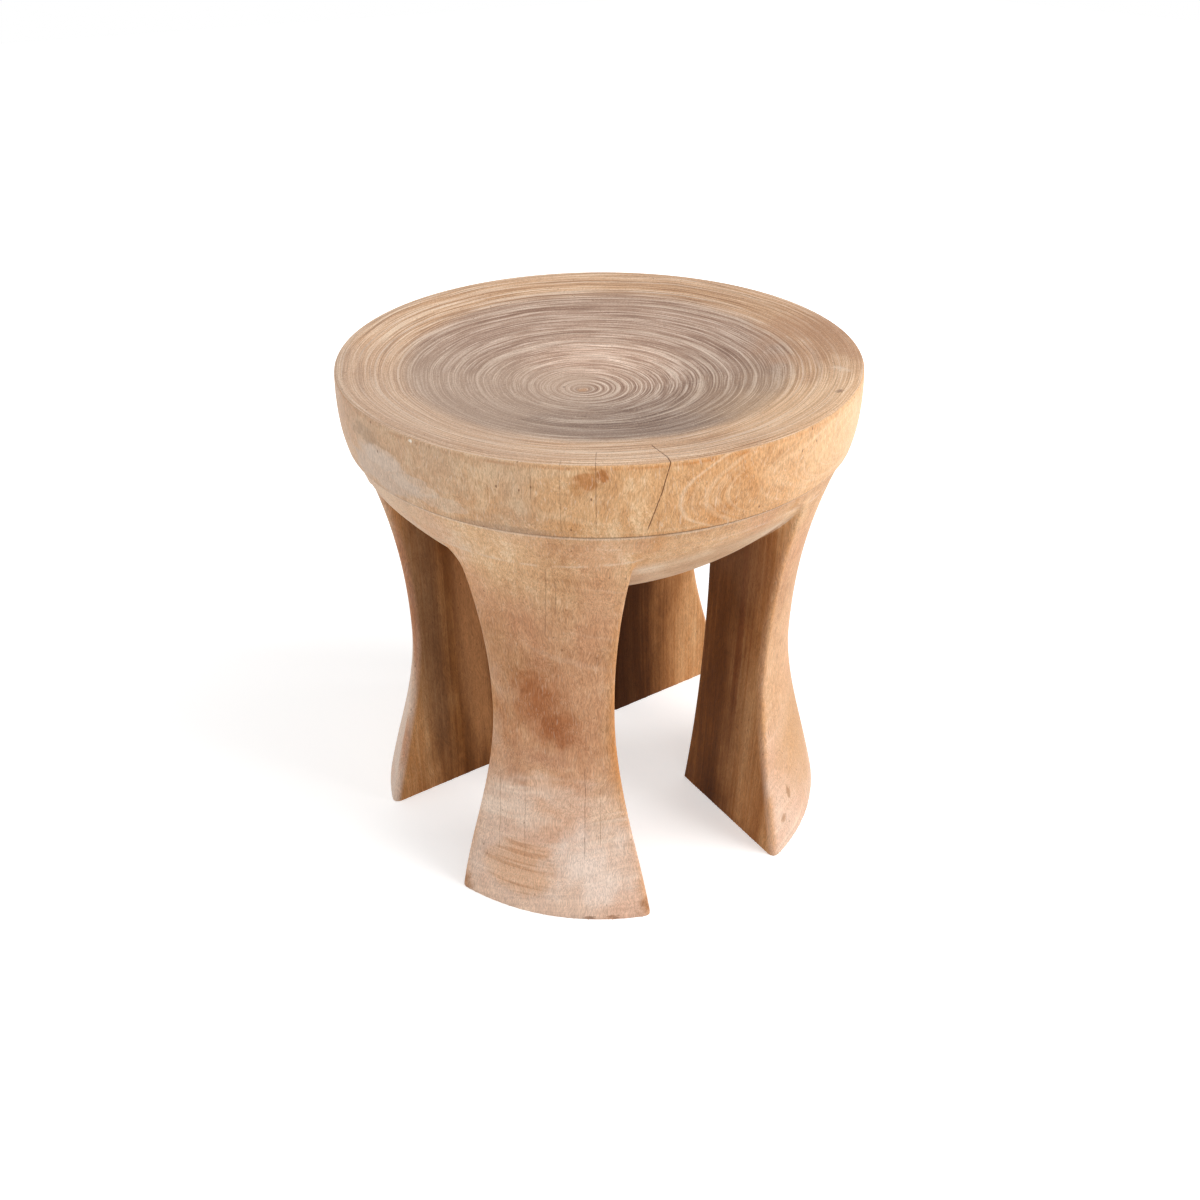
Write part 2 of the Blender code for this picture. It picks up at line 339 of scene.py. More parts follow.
    @staticmethod
    def slice_flat(piece: bpy.types.Object, height: float, keep_above: bool, easing: float) -> None:
        """Saw a piece level, close the cut and ease its edge.

        Args:
            piece: The piece to saw.
            height: Height of the finished flat face.
            keep_above: Whether the piece above the cut stays, and not the one below.
            easing: How far the cut's edge is drawn in.
        """
        Bench.edit(piece)
        bpy.ops.mesh.bisect(
            plane_co=(0, 0, height),
            plane_no=(0, 0, 1),
            use_fill=True,
            clear_inner=keep_above,
            clear_outer=not keep_above,
            threshold=Bench.saw_threshold,
        )
        Bench.done()
        normals = np.empty(len(piece.data.vertices) * 3, np.float32)
        piece.data.vertices.foreach_get("normal", normals)
        sideways = normals.reshape(-1, 3)[:, :2].astype(float)
        sideways /= np.maximum(np.linalg.norm(sideways, axis=1, keepdims=True), 1e-6)
        points = Bench.coordinates(piece)
        on_cut = np.abs(points[:, 2] - height) < Bench.cut_tolerance
        points[on_cut, :2] -= easing * sideways[on_cut]
        points[on_cut, 2] = height
        Bench.move_to(piece, points)

    @staticmethod
    def shade(piece: bpy.types.Object, angle: float = math.radians(35)) -> None:
        """Shade a piece smooth, except across edges sharper than an angle."""
        Bench.take(piece)
        bpy.ops.object.shade_smooth_by_angle(angle=angle)


@dataclass(frozen=True)
class ArchWall:
    """One sawn wall of an arch: how far it is from the middle of the stool, and its corner at the apron."""

    waist: float
    foot: float
    fillet: float
    fillet_top: float
    toe_start: float = 0.23

    def distance(self, height: np.ndarray) -> np.ndarray:
        """How far the wall is from the middle of the arch at each height.

        Args:
            height: Heights above the floor.

        Returns:
            The distances.
        """
        below = np.clip(1 - height / self.toe_start, 0, 1)
        rise = np.clip(height - (self.fillet_top - self.fillet), 0, self.fillet)
        corner = self.fillet - np.sqrt(self.fillet**2 - rise**2)
        return self.waist + (self.foot - self.waist) * below**2 - corner


@dataclass(frozen=True)
class Arch:
    """A half tunnel from the middle of the stool out through one side, between two legs."""

    side: Side
    left: ArchWall
    right: ArchWall
    overlap: float = 0.01
    reach: float = 0.24
    low: float = -0.02
    high: float = 0.4
    levels: int = 104

    def tool(self) -> bpy.types.Object:
        """The closed shape that saws this arch out of the turned blank.

        Returns:
            The tool, ready to be cut away.
        """
        Bench.clear_selection()
        length = self.reach + self.overlap
        middle = self.reach - length / 2
        bpy.ops.mesh.primitive_cube_add(size=1, location=(0, 0, 0))
        tool = bpy.context.object
        tool.name = f"{self.side.name.lower()}_arch_tool"
        Bench.edit(tool, "EDGE")
        bpy.ops.mesh.select_all(action="DESELECT")
        Bench.done()
        for edge in tool.data.edges:
            a, b = (tool.data.vertices[i].co for i in edge.vertices)
            edge.select = abs(a.z - b.z) > 0.5
        bpy.ops.object.mode_set(mode="EDIT")
        bpy.ops.mesh.subdivide(number_cuts=self.levels)
        Bench.done()
        points = Bench.coordinates(tool)
        heights = self.low + (points[:, 2] + 0.5) * (self.high - self.low)
        across = np.where(points[:, 1] > 0, self.left.distance(heights), -self.right.distance(heights))
        along = middle + points[:, 0] * length
        turn = self.side.value
        x = along * math.cos(turn) - across * math.sin(turn)
        y = along * math.sin(turn) + across * math.cos(turn)
        Bench.move_to(tool, np.stack([x, y, heights], axis=1))
        return tool

    def depth(self, points: np.ndarray) -> np.ndarray:
        """How deep each point lies behind this arch's nearer wall, and 1 for points beyond the middle.

        Args:
            points: The points, as rows of x, y and z.

        Returns:
            The depths.
        """
        x, y, z = points.T
        turn = self.side.value
        along = x * math.cos(turn) + y * math.sin(turn)
        across = y * math.cos(turn) - x * math.sin(turn)
        wall = np.where(across > 0, self.left.distance(z), self.right.distance(z))
        return np.where(along > 0, np.abs(across) - wall, 1.0)


@dataclass(frozen=True)
class Seat:
    """The seat: a turned slab with a shallow dish inside a narrow rim, and a bellied side."""

    form: Form
    dish_depth: float = 0.02
    land_width: float = 0.007
    rim_rounding: float = 0.0012
    lower_rounding: float = 0.0024
    seam_gap: float = 0.0005
    turned_steps: int = 384
    dish_steps: int = 44
    land_steps: int = 4
    side_steps: int = 20
    rounding_steps: int = 4

    def profile(self) -> list[tuple[float, float]]:
        """Half section from the middle of the dish over the rim to the middle of the underside.

        Returns:
            Points as radius and height.
        """
        form = self.form
        land_end = form.rim_radius - self.rim_rounding
        land_start = land_end - self.land_width
        ball = (land_start**2 + self.dish_depth**2) / (2 * self.dish_depth)
        points = []
        for step in range(self.dish_steps + 1):
            radius = land_start * step / self.dish_steps
            fall = self.dish_depth - (ball - math.sqrt(ball**2 - radius**2))
            points.append((radius, form.height - fall))
        for step in range(1, self.land_steps):
            points.append((land_start + self.land_width * step / self.land_steps, form.height))
        corner = form.height - self.rim_rounding
        for step in range(self.rounding_steps + 1):
            angle = math.pi / 2 * (1 - step / self.rounding_steps)
            across, up = math.cos(angle), math.sin(angle)
            points.append((land_end + self.rim_rounding * across, corner + self.rim_rounding * up))
        underside = form.seam_height + self.seam_gap
        low = underside + self.lower_rounding
        for step in range(1, self.side_steps + 1):
            height = corner - (corner - low) * step / self.side_steps
            points.append((form.seat_side_radius(height), height))
        middle = form.seat_side_radius(low) - self.lower_rounding
        for step in range(1, self.rounding_steps + 1):
            angle = math.pi / 2 * step / self.rounding_steps
            across, down = math.cos(angle), math.sin(angle)
            points.append((middle + self.lower_rounding * across, low - self.lower_rounding * down))
        points.append((0, underside))
        return points

    def build(self) -> bpy.types.Object:
        """Turn the seat.

        Returns:
            The seat.
        """
        seat = Bench.turn("seat_top", self.profile(), self.turned_steps)
        Bench.shade(seat)
        return seat


@dataclass(frozen=True)
class Base:
    """The crown and the legs, which are turned, sawn and sanded as one and then parted at the dome."""

    form: Form
    arches: tuple[Arch, ...]
    turned_steps: int = 220
    turned_levels: int = 90
    dome_steps: int = 40
    dome_reach: float = 0.215
    tool_height: float = 0.42
    blank_low: float = -0.008
    blank_high: float = 0.372
    grid: float = 0.0016
    grid_turn: tuple[float, float, float] = (0.62, 0.47, 0.35)
    sanding_passes: tuple[int, ...] = (8, 6, 4)
    press_steps: int = 3
    press_limit: float = 0.002
    probe: float = 0.0001
    least_steep: float = 0.3
    arris_rounding: float = 0.004
    apron_rounding: float = 0.0018
    apron_drop: float = 0.022
    apron_blend: float = 0.016
    inner_rounding: float = 0.004
    back_rounding: float = 0.013
    back_drop: float = 0.015
    back_blend: float = 0.045
    toe_rounding: float = 0.008
    toe_height: float = 0.06
    fillet: float = 0.003
    waver_turns: tuple[float, float, float] = (41.0, 37.0, 52.0)
    waver_depth: float = 0.0007
    joint_drop: float = 0.0025
    joint_rise_share: float = 0.56
    cut_easing: float = 0.0005
    sawn_from: float = 0.002
    sawn_to: float = 0.009
    arris_width: float = 0.006
    joint_width: float = 0.0009

    def blank(self) -> bpy.types.Object:
        """The turned outside, solid and a little taller than the finished base.

        Returns:
            The blank.
        """
        run = self.blank_high - self.blank_low
        shares = [level / self.turned_levels for level in range(self.turned_levels + 1)]
        heights = [self.blank_low + run * share for share in shares]
        profile = [(0, self.blank_low)]
        profile += [(self.form.outside_radius(height), height) for height in heights]
        profile.append((0, self.blank_high))
        return Bench.turn("blank", profile, self.turned_steps)

    def dome(self, name: str, drop: float, rise_share: float) -> bpy.types.Object:
        """The space above the crown's domed underside, as a closed shape.

        Args:
            name: The shape's name.
            drop: How much lower than the underside it lies.
            rise_share: How much of the apron's rise over each arch it follows.

        Returns:
            The shape, which runs past the outside and the top of the blank.
        """
        radii = [self.dome_reach * step / self.dome_steps for step in range(self.dome_steps + 1)]
        profile = [(radius, 0.0) for radius in radii]
        profile += [(self.dome_reach, self.tool_height), (0, self.tool_height)]
        dome = Bench.turn(name, profile, self.turned_steps)
        points = Bench.coordinates(dome)
        x, y, z = points.T
        edge = self.form.apron_edge(np.arctan2(y, x), drop, rise_share)
        bowl = self.form.bowl_height(np.hypot(x, y), edge, drop)
        points[:, 2] = np.where(z < self.tool_height / 2, bowl, z)
        Bench.move_to(dome, points)
        return dome

    def sanded(self) -> bpy.types.Object:
        """The whole base in one: blank, arches sawn out, the dome left standing, and every edge sanded.

        Returns:
            The base, still in one.
        """
        crown = self.blank()
        legs = Bench.copy(crown, "legs_blank")
        dome = self.dome("dome", 0.0, 1.0)
        Bench.keep(crown, dome, Cut.INSIDE)
        for arch in self.arches:
            tool = arch.tool()
            Bench.keep(legs, tool, Cut.OUTSIDE)
            Bench.remove(tool)
        Bench.take(legs)
        crown.select_set(True)
        bpy.ops.object.join()
        Bench.remove(dome)
        legs.name = legs.data.name = "base"
        self.sand(legs)
        return legs

    def sand(self, base: bpy.types.Object) -> None:
        """Fuse the sawn solids into one even skin, and press and smooth it onto the sanded shape.

        Args:
            base: The sawn base.
        """
        turn = Euler(self.grid_turn).to_matrix().to_4x4()
        base.data.transform(turn)
        Bench.take(base)
        remesh = base.modifiers.new("skin", "REMESH")
        remesh.mode = "VOXEL"
        remesh.voxel_size = self.grid
        remesh.adaptivity = 0
        bpy.ops.object.modifier_apply(modifier=remesh.name)
        base.data.transform(turn.inverted())
        for passes in self.sanding_passes:
            self.press(base)
            self.smooth(base, passes)
        self.press(base)

    def press(self, base: bpy.types.Object) -> None:
        """Press the skin onto the sanded shape, along its steepest way in or out.

        Args:
            base: The base, as one skin.
        """
        points = Bench.coordinates(base)
        for _ in range(self.press_steps):
            depth = self.depth(points)
            moves = np.eye(3) * self.probe
            slopes = np.stack([self.depth(points + move) - depth for move in moves], axis=1)
            slopes /= self.probe
            steep = np.maximum((slopes**2).sum(axis=1), self.least_steep)
            step = np.clip(-depth / steep, -self.press_limit, self.press_limit)
            points += step[:, None] * slopes
        Bench.move_to(base, points)

    def depth(self, points: np.ndarray) -> np.ndarray:
        """How deep each point lies inside the sanded base, and below zero outside it.

        Args:
            points: Rows of x, y and z.

        Returns:
            The depths.
        """
        x, y, z = points.T
        radius = np.minimum(np.hypot(x, y), self.dome_reach)
        edge = self.form.apron_edge(np.arctan2(y, x))
        slope = radius / np.sqrt(self.form.bowl_ball_radius**2 - radius**2)
        dome = (z - self.form.bowl_height(radius, edge)) / np.hypot(1, slope)
        walls = [arch.depth(points) for arch in self.arches]
        leg = self.round_off(walls, self.inner_rounding)
        joined = np.hypot(np.maximum(dome + self.fillet, 0), np.maximum(leg + self.fillet, 0)) - self.fillet
        inside = np.where(np.maximum(dome, leg) > -self.fillet, joined, np.maximum(dome, leg))
        low = np.clip(1 - z / self.toe_height, 0, 1) ** 2
        below = np.clip((self.form.apron_edge_height - self.back_drop - z) / self.back_blend, 0, 1)
        at_back = below * ((x > 0) & (y > 0))
        at_apron = np.clip((z - edge + self.apron_drop) / self.apron_blend, 0, 1)
        rounding = self.arris_rounding + (self.apron_rounding - self.arris_rounding) * at_apron
        rounding += (self.toe_rounding - self.arris_rounding) * low
        back = self.arris_rounding + (self.back_rounding - self.arris_rounding) * at_back
        rounding = np.maximum(rounding, back)
        outside = self.form.outside_radius(z) - np.hypot(x, y) - self.waver(points)
        ends = np.minimum(z - self.blank_low, self.blank_high - z)
        return np.minimum(self.round_off([outside, inside], rounding), ends)

    @staticmethod
    def round_off(faces: list[np.ndarray], radius: Reading) -> np.ndarray:
        """The depth inside several faces at once, with a round edge where they meet.

        Args:
            faces: The depth inside each face.
            radius: Radius of the round edge.

        Returns:
            The depths.
        """
        short = [np.maximum(radius - face, 0) for face in faces]
        near = np.sqrt(sum(part**2 for part in short))
        return np.where(near > 0, radius - near, np.min(faces, axis=0))

    def waver(self, points: np.ndarray) -> np.ndarray:
        """The slight hollows that sanding by hand leaves in the turned outside.

        Args:
            points: The points, as rows of x, y and z.

        Returns:
            How far each point moves.
        """
        x, y, z = (points * self.waver_turns).T
        swell = np.sin(x + 0.7 * np.sin(z)) * np.sin(y + 1.3) + np.sin(0.6 * z + 0.8 * x - 0.5 * y)
        return self.waver_depth * (0.5 + 0.25 * swell)

    def edge_distance(self, points: np.ndarray) -> np.ndarray:
        """How far each point is from the nearest edge between a sawn wall and the turned outside.

        Args:
            points: The points, as rows of x, y and z.

        Returns:
            The distances.
        """
        outside = self.form.outside_radius(points[:, 2]) - np.hypot(points[:, 0], points[:, 1])
        walls = np.min([np.abs(arch.depth(points)) for arch in self.arches], axis=0)
        return np.hypot(outside, walls)

    @staticmethod
    def smooth(piece: bpy.types.Object, passes: int) -> None:
        """Smooth a piece with a number of passes.

        Args:
            piece: The piece.
            passes: How many.
        """
        Bench.take(piece)
        modifier = piece.modifiers.new("sanding", "SMOOTH")
        modifier.factor = 0.5
        modifier.iterations = passes
        bpy.ops.object.modifier_apply(modifier=modifier.name)

    def build(self) -> tuple[bpy.types.Object, list[bpy.types.Object]]:
        """Make the crown and the four legs.

        Returns:
            The crown, and the legs in no order.
        """
        legs = self.sanded()
        Bench.slice_flat(legs, 0.0, True, self.cut_easing)
        crown = Bench.copy(legs, "crown_block")
        parting = self.dome("parting", self.joint_drop, self.joint_rise_share)
        Bench.keep(crown, parting, Cut.INSIDE, "MANIFOLD")
        Bench.keep(legs, parting, Cut.OUTSIDE, "MANIFOLD")
        Bench.remove(parting)
        Bench.slice_flat(crown, self.form.seam_height, False, self.cut_easing)
        Bench.edit(legs)
        bpy.ops.mesh.separate(type="LOOSE")
        Bench.done()
        parts = list(bpy.context.selected_objects)
        for part in [crown, *parts]:
            Bench.shade(part)
        return crown, parts

    def paint(self, piece: bpy.types.Object) -> None:
        """Store where a piece is sawn, where its worn edges are and where the legs meet the crown.

        Args:
            piece: The crown or a leg.
        """
        points = Bench.coordinates(piece)
        x, y, z = points.T
        depth = self.form.outside_radius(z) - np.hypot(x, y)
        share = np.clip((depth - self.sawn_from) / (self.sawn_to - self.sawn_from), 0, 1)
        Bench.paint(piece, "sawn", share * share * (3 - 2 * share))
        Bench.paint(piece, "arris", np.exp(-((self.edge_distance(points) / self.arris_width) ** 2)))
        edges = self.form.apron_edge(np.arctan2(y, x), self.joint_drop, self.joint_rise_share)
        line = np.exp(-(((z - edges) / self.joint_width) ** 2))
        Bench.paint(piece, "joint", line * (1 - share))


# The wiring of shader nodes
Colour = tuple[float, float, float, float]
Triple = tuple[float, float, float]
Socket = bpy.types.NodeSocket
Feed = bpy.types.NodeSocket | float | Triple | Colour


def tone(red: int, green: int, blue: int) -> Colour:
    """A colour as it looks on a screen, from 0 to 255, in the linear values that shaders take.

    Args:
        red: The red.
        green: The green.
        blue: The blue.

    Returns:
        The colour.
    """
    shares = [value / 255 for value in (red, green, blue)]
    linear = [share / 12.92 if share < 0.04045 else ((share + 0.055) / 1.055) ** 2.4 for share in shares]
    return (linear[0], linear[1], linear[2], 1.0)


def around(heading: float, radius: float, height: float) -> Triple:
    """The place at a heading in degrees, a distance from the upright axis, and a height."""
    angle = math.radians(heading)
    return (radius * math.cos(angle), radius * math.sin(angle), height)


class Wiring:
    """Places shader nodes in one tree and wires them, so that a pattern reads as a sum."""

    def __init__(self, tree: bpy.types.NodeTree) -> None:
        """Work in the given tree."""
        self.tree = tree

    def node(self, kind: str, *values: Feed, **settings: object) -> bpy.types.Node:
        """Place one node.

        Args:
            kind: Blender's name for it.
            *values: What to feed its first inputs, in order.
            **settings: Its own settings by name.

        Returns:
            The node.
        """
        made = self.tree.nodes.new(kind)
        for name, setting in settings.items():
            setattr(made, name, setting)
        for socket, value in zip(made.inputs, values):
            self.feed(socket, value)
        return made

    def feed(self, socket: Socket, value: Feed) -> None:
        """Wire a socket, or set it where the value is a constant.

        Args:
            socket: The socket.
            value: A socket or a constant.
        """
        if isinstance(value, bpy.types.NodeSocket):
            self.tree.links.new(value, socket)
        else:
            socket.default_value = value

    def math(self, operation: str, *values: Feed) -> Socket:
        """The result of a math node."""
        return self.node("ShaderNodeMath", *values, operation=operation).outputs[0]

    def total(self, first: Feed, *others: Feed) -> Feed:
        """The sum of several values.

        Args:
            first: The first value.
            *others: The others.

        Returns:
            Their sum.
        """
        for value in others:
            first = self.math("ADD", first, value)
        return first

    def times(self, first: Feed, *others: Feed) -> Feed:
        """The product of several values.

        Args:
            first: The first value.
            *others: The others.

        Returns:
            Their product.
        """
        for value in others:
            first = self.math("MULTIPLY", first, value)
        return first

    def minus(self, first: Feed, second: Feed) -> Socket:
        """The first value less the second."""
        return self.math("SUBTRACT", first, second)

    def weigh(self, values: dict[str, Socket], **shares: float) -> Feed:
        """The sum of some of a pattern's values, each times its share."""
        return self.total(*[self.times(values[name], share) for name, share in shares.items()])

    def vector(self, operation: str, *values: Feed) -> Socket:
        """The vector result of a vector math node."""
        return self.node("ShaderNodeVectorMath", *values, operation=operation).outputs["Vector"]

    def upright(self, place: Feed, share: float) -> Socket:
        """A place whose height counts for a share only, so that a pattern is drawn out upwards."""
        return self.vector("MULTIPLY", place, (1.0, 1.0, share))

    def length(self, value: Feed) -> Socket:
        """The length of a vector."""
        return self.node("ShaderNodeVectorMath", value, operation="LENGTH").outputs["Value"]

    def parts(self, value: Feed) -> tuple[Socket, ...]:
        """The x, y and z of a vector."""
        return tuple(self.node("ShaderNodeSeparateXYZ", value).outputs)

    def join(self, x: Feed, y: Feed, z: Feed) -> Socket:
        """A vector from its parts."""
        return self.node("ShaderNodeCombineXYZ", x, y, z).outputs[0]

    def noise(
        self,
        place: Feed,
        scale: float,
        detail: float = 2.0,
        rough: float = 0.5,
        bent: float = 0.0,
    ) -> Socket:
        """Smooth noise from 0 to 1 about a half.

        Args:
            place: Where to read it.
            scale: How many features lie along a metre.
            detail: How many finer layers it has.
            rough: How strong the finer layers are.
            bent: How much the pattern is bent by itself.

        Returns:
            The noise.
        """
        made = self.node("ShaderNodeTexNoise", place, noise_dimensions="3D")
        for name, value in {"Scale": scale, "Detail": detail, "Roughness": rough, "Distortion": bent}.items():
            self.feed(made.inputs[name], value)
        return made.outputs["Fac"]

    def swing(self, noise: Socket, reach: Feed) -> Socket:
        """Noise from 0 to 1 turned into a swing either way of zero."""
        return self.times(self.minus(noise, 0.5), reach)

    def ease(self, value: Feed, low: Feed, high: Feed, start: Feed = 0.0, end: Feed = 1.0) -> Socket:
        """A smooth step from start to end as the value goes from low to high."""
        values = (value, low, high, start, end)
        return self.node("ShaderNodeMapRange", *values, interpolation_type="SMOOTHSTEP").outputs[0]

    def near(self, value: Feed, level: Feed, width: Feed) -> Socket:
        """A mask that is 1 where the value is at a level and 0 past a width from it."""
        return self.ease(self.math("ABSOLUTE", self.minus(value, level)), 0.0, width, 1.0, 0.0)

    def mix(self, share: Feed, first: Feed, second: Feed, mode: str = "MIX") -> Socket:
        """Two colours mixed.

        Args:
            share: How much of the second.
            first: The first colour.
            second: The second colour.
            mode: How they blend.

        Returns:
            The colour.
        """
        made = self.node("ShaderNodeMix", data_type="RGBA", blend_type=mode)
        for index, value in ((0, share), (6, first), (7, second)):
            self.feed(made.inputs[index], value)
        return made.outputs[2]

    def shade(self, colour: Feed, amount: Feed) -> Socket:
        """A colour made darker or lighter by a factor.

        Args:
            colour: The colour.
            amount: The factor.

        Returns:
            The shaded colour.
        """
        made = self.node("ShaderNodeVectorMath", colour, operation="SCALE")
        self.feed(made.inputs["Scale"], amount)
        return made.outputs[0]

    def bump(self, height: Feed, strength: float, distance: float) -> Socket:
        """The normal of a surface with a height pattern.

        Args:
            height: The pattern.
            strength: How strongly it shows.
            distance: Its depth.

        Returns:
            The normal.
        """
        made = self.node("ShaderNodeBump")
        for name, value in {"Strength": strength, "Distance": distance, "Height": height}.items():
            self.feed(made.inputs[name], value)
        return made.outputs["Normal"]

    def ramp(self, share: Feed, stops: dict[float, Colour]) -> Socket:
        """The colour at a share along a row of stops.

        Args:
            share: The share.
            stops: The colour at each stop.

        Returns:
            The colour.
        """
        made = self.node("ShaderNodeValToRGB", share)
        elements = made.color_ramp.elements
        while len(elements) < len(stops):
            elements.new(0.5)
        for element, (position, colour) in zip(elements, sorted(stops.items())):
            element.position = position
            element.color = colour
        return made.outputs[0]


# The patterns that the finishes share, each a node group
class Kind(Enum):
    """What a shader group's socket carries."""

    VALUE = "NodeSocketFloat"
    VECTOR = "NodeSocketVector"


class WoodPattern:
    """A shader group that is built once and placed in each wood with its own values."""

    name: str = ""
    takes: dict[str, tuple[Kind, float | Triple]] = {}
    gives: tuple[str, ...] = ()

    def draw(self, w: Wiring, given: dict[str, Socket]) -> dict[str, Socket]:
        """Wire the group's nodes and return its outputs by name."""
        raise NotImplementedError

    def tree(self) -> bpy.types.NodeTree:
        """The group, which is made when it is first asked for.

        Returns:
            The group's node tree.
        """
        found = bpy.data.node_groups.get(self.name)
        if found:
            return found
        tree = bpy.data.node_groups.new(self.name, "ShaderNodeTree")
        for name, (kind, value) in self.takes.items():
            socket = tree.interface.new_socket(name, in_out="INPUT", socket_type=kind.value)
            socket.default_value = value
        for name in self.gives:
            kind = Kind.VECTOR if name == "Heading" else Kind.VALUE
            tree.interface.new_socket(name, in_out="OUTPUT", socket_type=kind.value)
        wiring = Wiring(tree)
        start = wiring.node("NodeGroupInput")
        end = wiring.node("NodeGroupOutput")
        results = self.draw(wiring, {name: start.outputs[name] for name in self.takes})
        for name, socket in results.items():
            tree.links.new(socket, end.inputs[name])
        return tree

    def place(self, wiring: Wiring, **values: Feed) -> dict[str, Socket]:
        """Place the group in a material.

        Args:
            wiring: The material's wiring.
            **values: What to feed its inputs, by name in lower case with underscores.

        Returns:
            Its outputs by name.
        """
        made = wiring.node("ShaderNodeGroup", node_tree=self.tree())
        for name, value in values.items():
            wiring.feed(made.inputs[name.replace("_", " ").capitalize()], value)
        return {name: made.outputs[name] for name in self.gives}


class GrowthDistance(WoodPattern):
    """How far a point lies from the pith, counted in growth rings that end concentric with the bark."""

    name = "growth distance"
    takes = {"Position": (Kind.VECTOR, (0.0, 0.0, 0.0))}
    gives = ("Distance", "Heading")
    pith = (-0.027, -0.019)
    pith_height = 0.391
    pith_lean = (0.018, -0.012)
    bark_radius = 0.2
    still_core = 0.06
    wander = 0.006
    wander_scale = 9.0
    ripple = 0.0018
    ripple_scale = 34.0
    upright_share = 0.3

    def draw(self, w: Wiring, given: dict[str, Socket]) -> dict[str, Socket]:
        """Solve for the ring through the point, then let it wander.

        Args:
            w: The group's wiring.
            given: The group's inputs, by name.

        Returns:
            The group's outputs, by name.
        """
        x, y, z = w.parts(given["Position"])
        drop = w.minus(z, self.pith_height)
        across, along = (
            w.minus(w.minus(part, middle), w.times(drop, lean))
            for part, middle, lean in zip((x, y), self.pith, self.pith_lean)
        )
        shift_x, shift_y = (part / self.bark_radius for part in self.pith)
        rest = 1 - shift_x**2 - shift_y**2
        towards = w.total(w.times(across, shift_x), w.times(along, shift_y))
        spread = w.total(w.times(across, across), w.times(along, along))
        root = w.math("SQRT", w.total(w.times(towards, towards), w.times(spread, rest)))
        plain = w.math("DIVIDE", w.total(towards, root), rest)
        drawn_out = w.upright(given["Position"], self.upright_share)
        slow = w.swing(w.noise(drawn_out, self.wander_scale, 1.0), self.wander)
        quick = w.swing(w.noise(drawn_out, self.ripple_scale, 2.0), self.ripple)
        away = w.ease(plain, 0.0, self.still_core)
        distance = w.total(plain, w.times(away, w.total(slow, quick)))
        heading = w.vector("NORMALIZE", w.join(across, along, 0.0))
        return {"Distance": distance, "Heading": heading}


class GrowthRings(WoodPattern):
    """The light and dark of the growth rings, in streaks that fade in and out along each ring."""

    name = "growth rings"
    takes = {
        "Distance": (Kind.VALUE, 0.0),
        "Heading": (Kind.VECTOR, (1.0, 0.0, 0.0)),
        "Height": (Kind.VALUE, 0.0),
    }
    gives = ("Fine", "Line", "Middle", "Broad", "Pale", "Dark")
    layers = {
        "Fine": (1900.0, 5.0, 1.0, 0.0),
        "Line": (1050.0, 1.9, 1.0, 3.1),
        "Middle": (460.0, 1.1, 1.0, 5.4),
        "Broad": (85.0, 0.8, 1.0, 7.7),
        "Pale": (620.0, 1.2, 1.0, 12.3),
        "Dark": (820.0, 2.0, 1.0, 18.9),
    }
    calm_core = 0.07
    pale_levels = (0.58, 0.69)
    dark_levels = (0.62, 0.74)
    height_turn = 3.0

    def draw(self, w: Wiring, given: dict[str, Socket]) -> dict[str, Socket]:
        """One stretched noise for each layer.

        Args:
            w: The group's wiring.
            given: The group's inputs, by name.

        Returns:
            The group's outputs, by name.
        """
        calm = w.ease(given["Distance"], 0.0, self.calm_core)
        turn_x, turn_y, _ = w.parts(w.vector("MULTIPLY", given["Heading"], w.join(calm, calm, calm)))
        climb = w.times(given["Height"], self.height_turn)
        results = {}
        for name, (along, about, detail, start) in self.layers.items():
            place = w.join(
                w.total(w.times(given["Distance"], along), start),
                w.times(w.total(turn_x, climb), about),
                w.times(w.minus(turn_y, climb), about),
            )
            results[name] = w.noise(place, 1.0, detail)
        results["Pale"] = w.ease(results["Pale"], *self.pale_levels)
        results["Dark"] = w.ease(results["Dark"], *self.dark_levels)
        return results


class Fibre(WoodPattern):
    """Fine hair-like strokes that run up the wood, and show as small dots on end grain."""

    name = "fibre"
    takes = {
        "Position": (Kind.VECTOR, (0.0, 0.0, 0.0)),
        "Width": (Kind.VALUE, 0.0012),
        "Length": (Kind.VALUE, 0.006),
    }
    gives = ("Stroke", "Patch", "Hair")
    curl = 1.0
    sway = 0.009
    sway_scale = 42.0
    shift = (0.37, 0.11, 0.53)
    hair_shift = (3.7, 9.1, 5.3)
    patch_share = (0.15, 0.15, 0.36)
    hair_share = (0.9, 0.9, 0.55)
    hair_levels = (0.6, 0.74)

    def draw(self, w: Wiring, given: dict[str, Socket]) -> dict[str, Socket]:
        """Noise that is drawn out upwards and curls, and a coarser patchwork of the same.

        Args:
            w: The group's wiring.
            given: The group's inputs, by name.

        Returns:
            The group's outputs, by name.
        """
        size = w.join(given["Width"], given["Width"], given["Length"])
        shifted = w.vector("ADD", given["Position"], self.shift)
        places = (given["Position"], shifted)
        sways = [w.swing(w.noise(place, self.sway_scale, 1.0), self.sway) for place in places]
        swaying = w.vector("ADD", given["Position"], w.join(*sways, 0.0))
        place = w.vector("DIVIDE", swaying, size)
        coarse = w.vector("MULTIPLY", place, self.patch_share)
        sparse = w.vector("MULTIPLY", w.vector("ADD", place, self.hair_shift), self.hair_share)
        return {
            "Stroke": w.noise(place, 1.0, 2.0, 0.6, self.curl),
            "Patch": w.noise(coarse, 1.0, 2.0, 0.55, 0.6),
            "Hair": w.ease(w.noise(sparse, 1.0, 1.0, 0.5, 0.8), *self.hair_levels),
        }


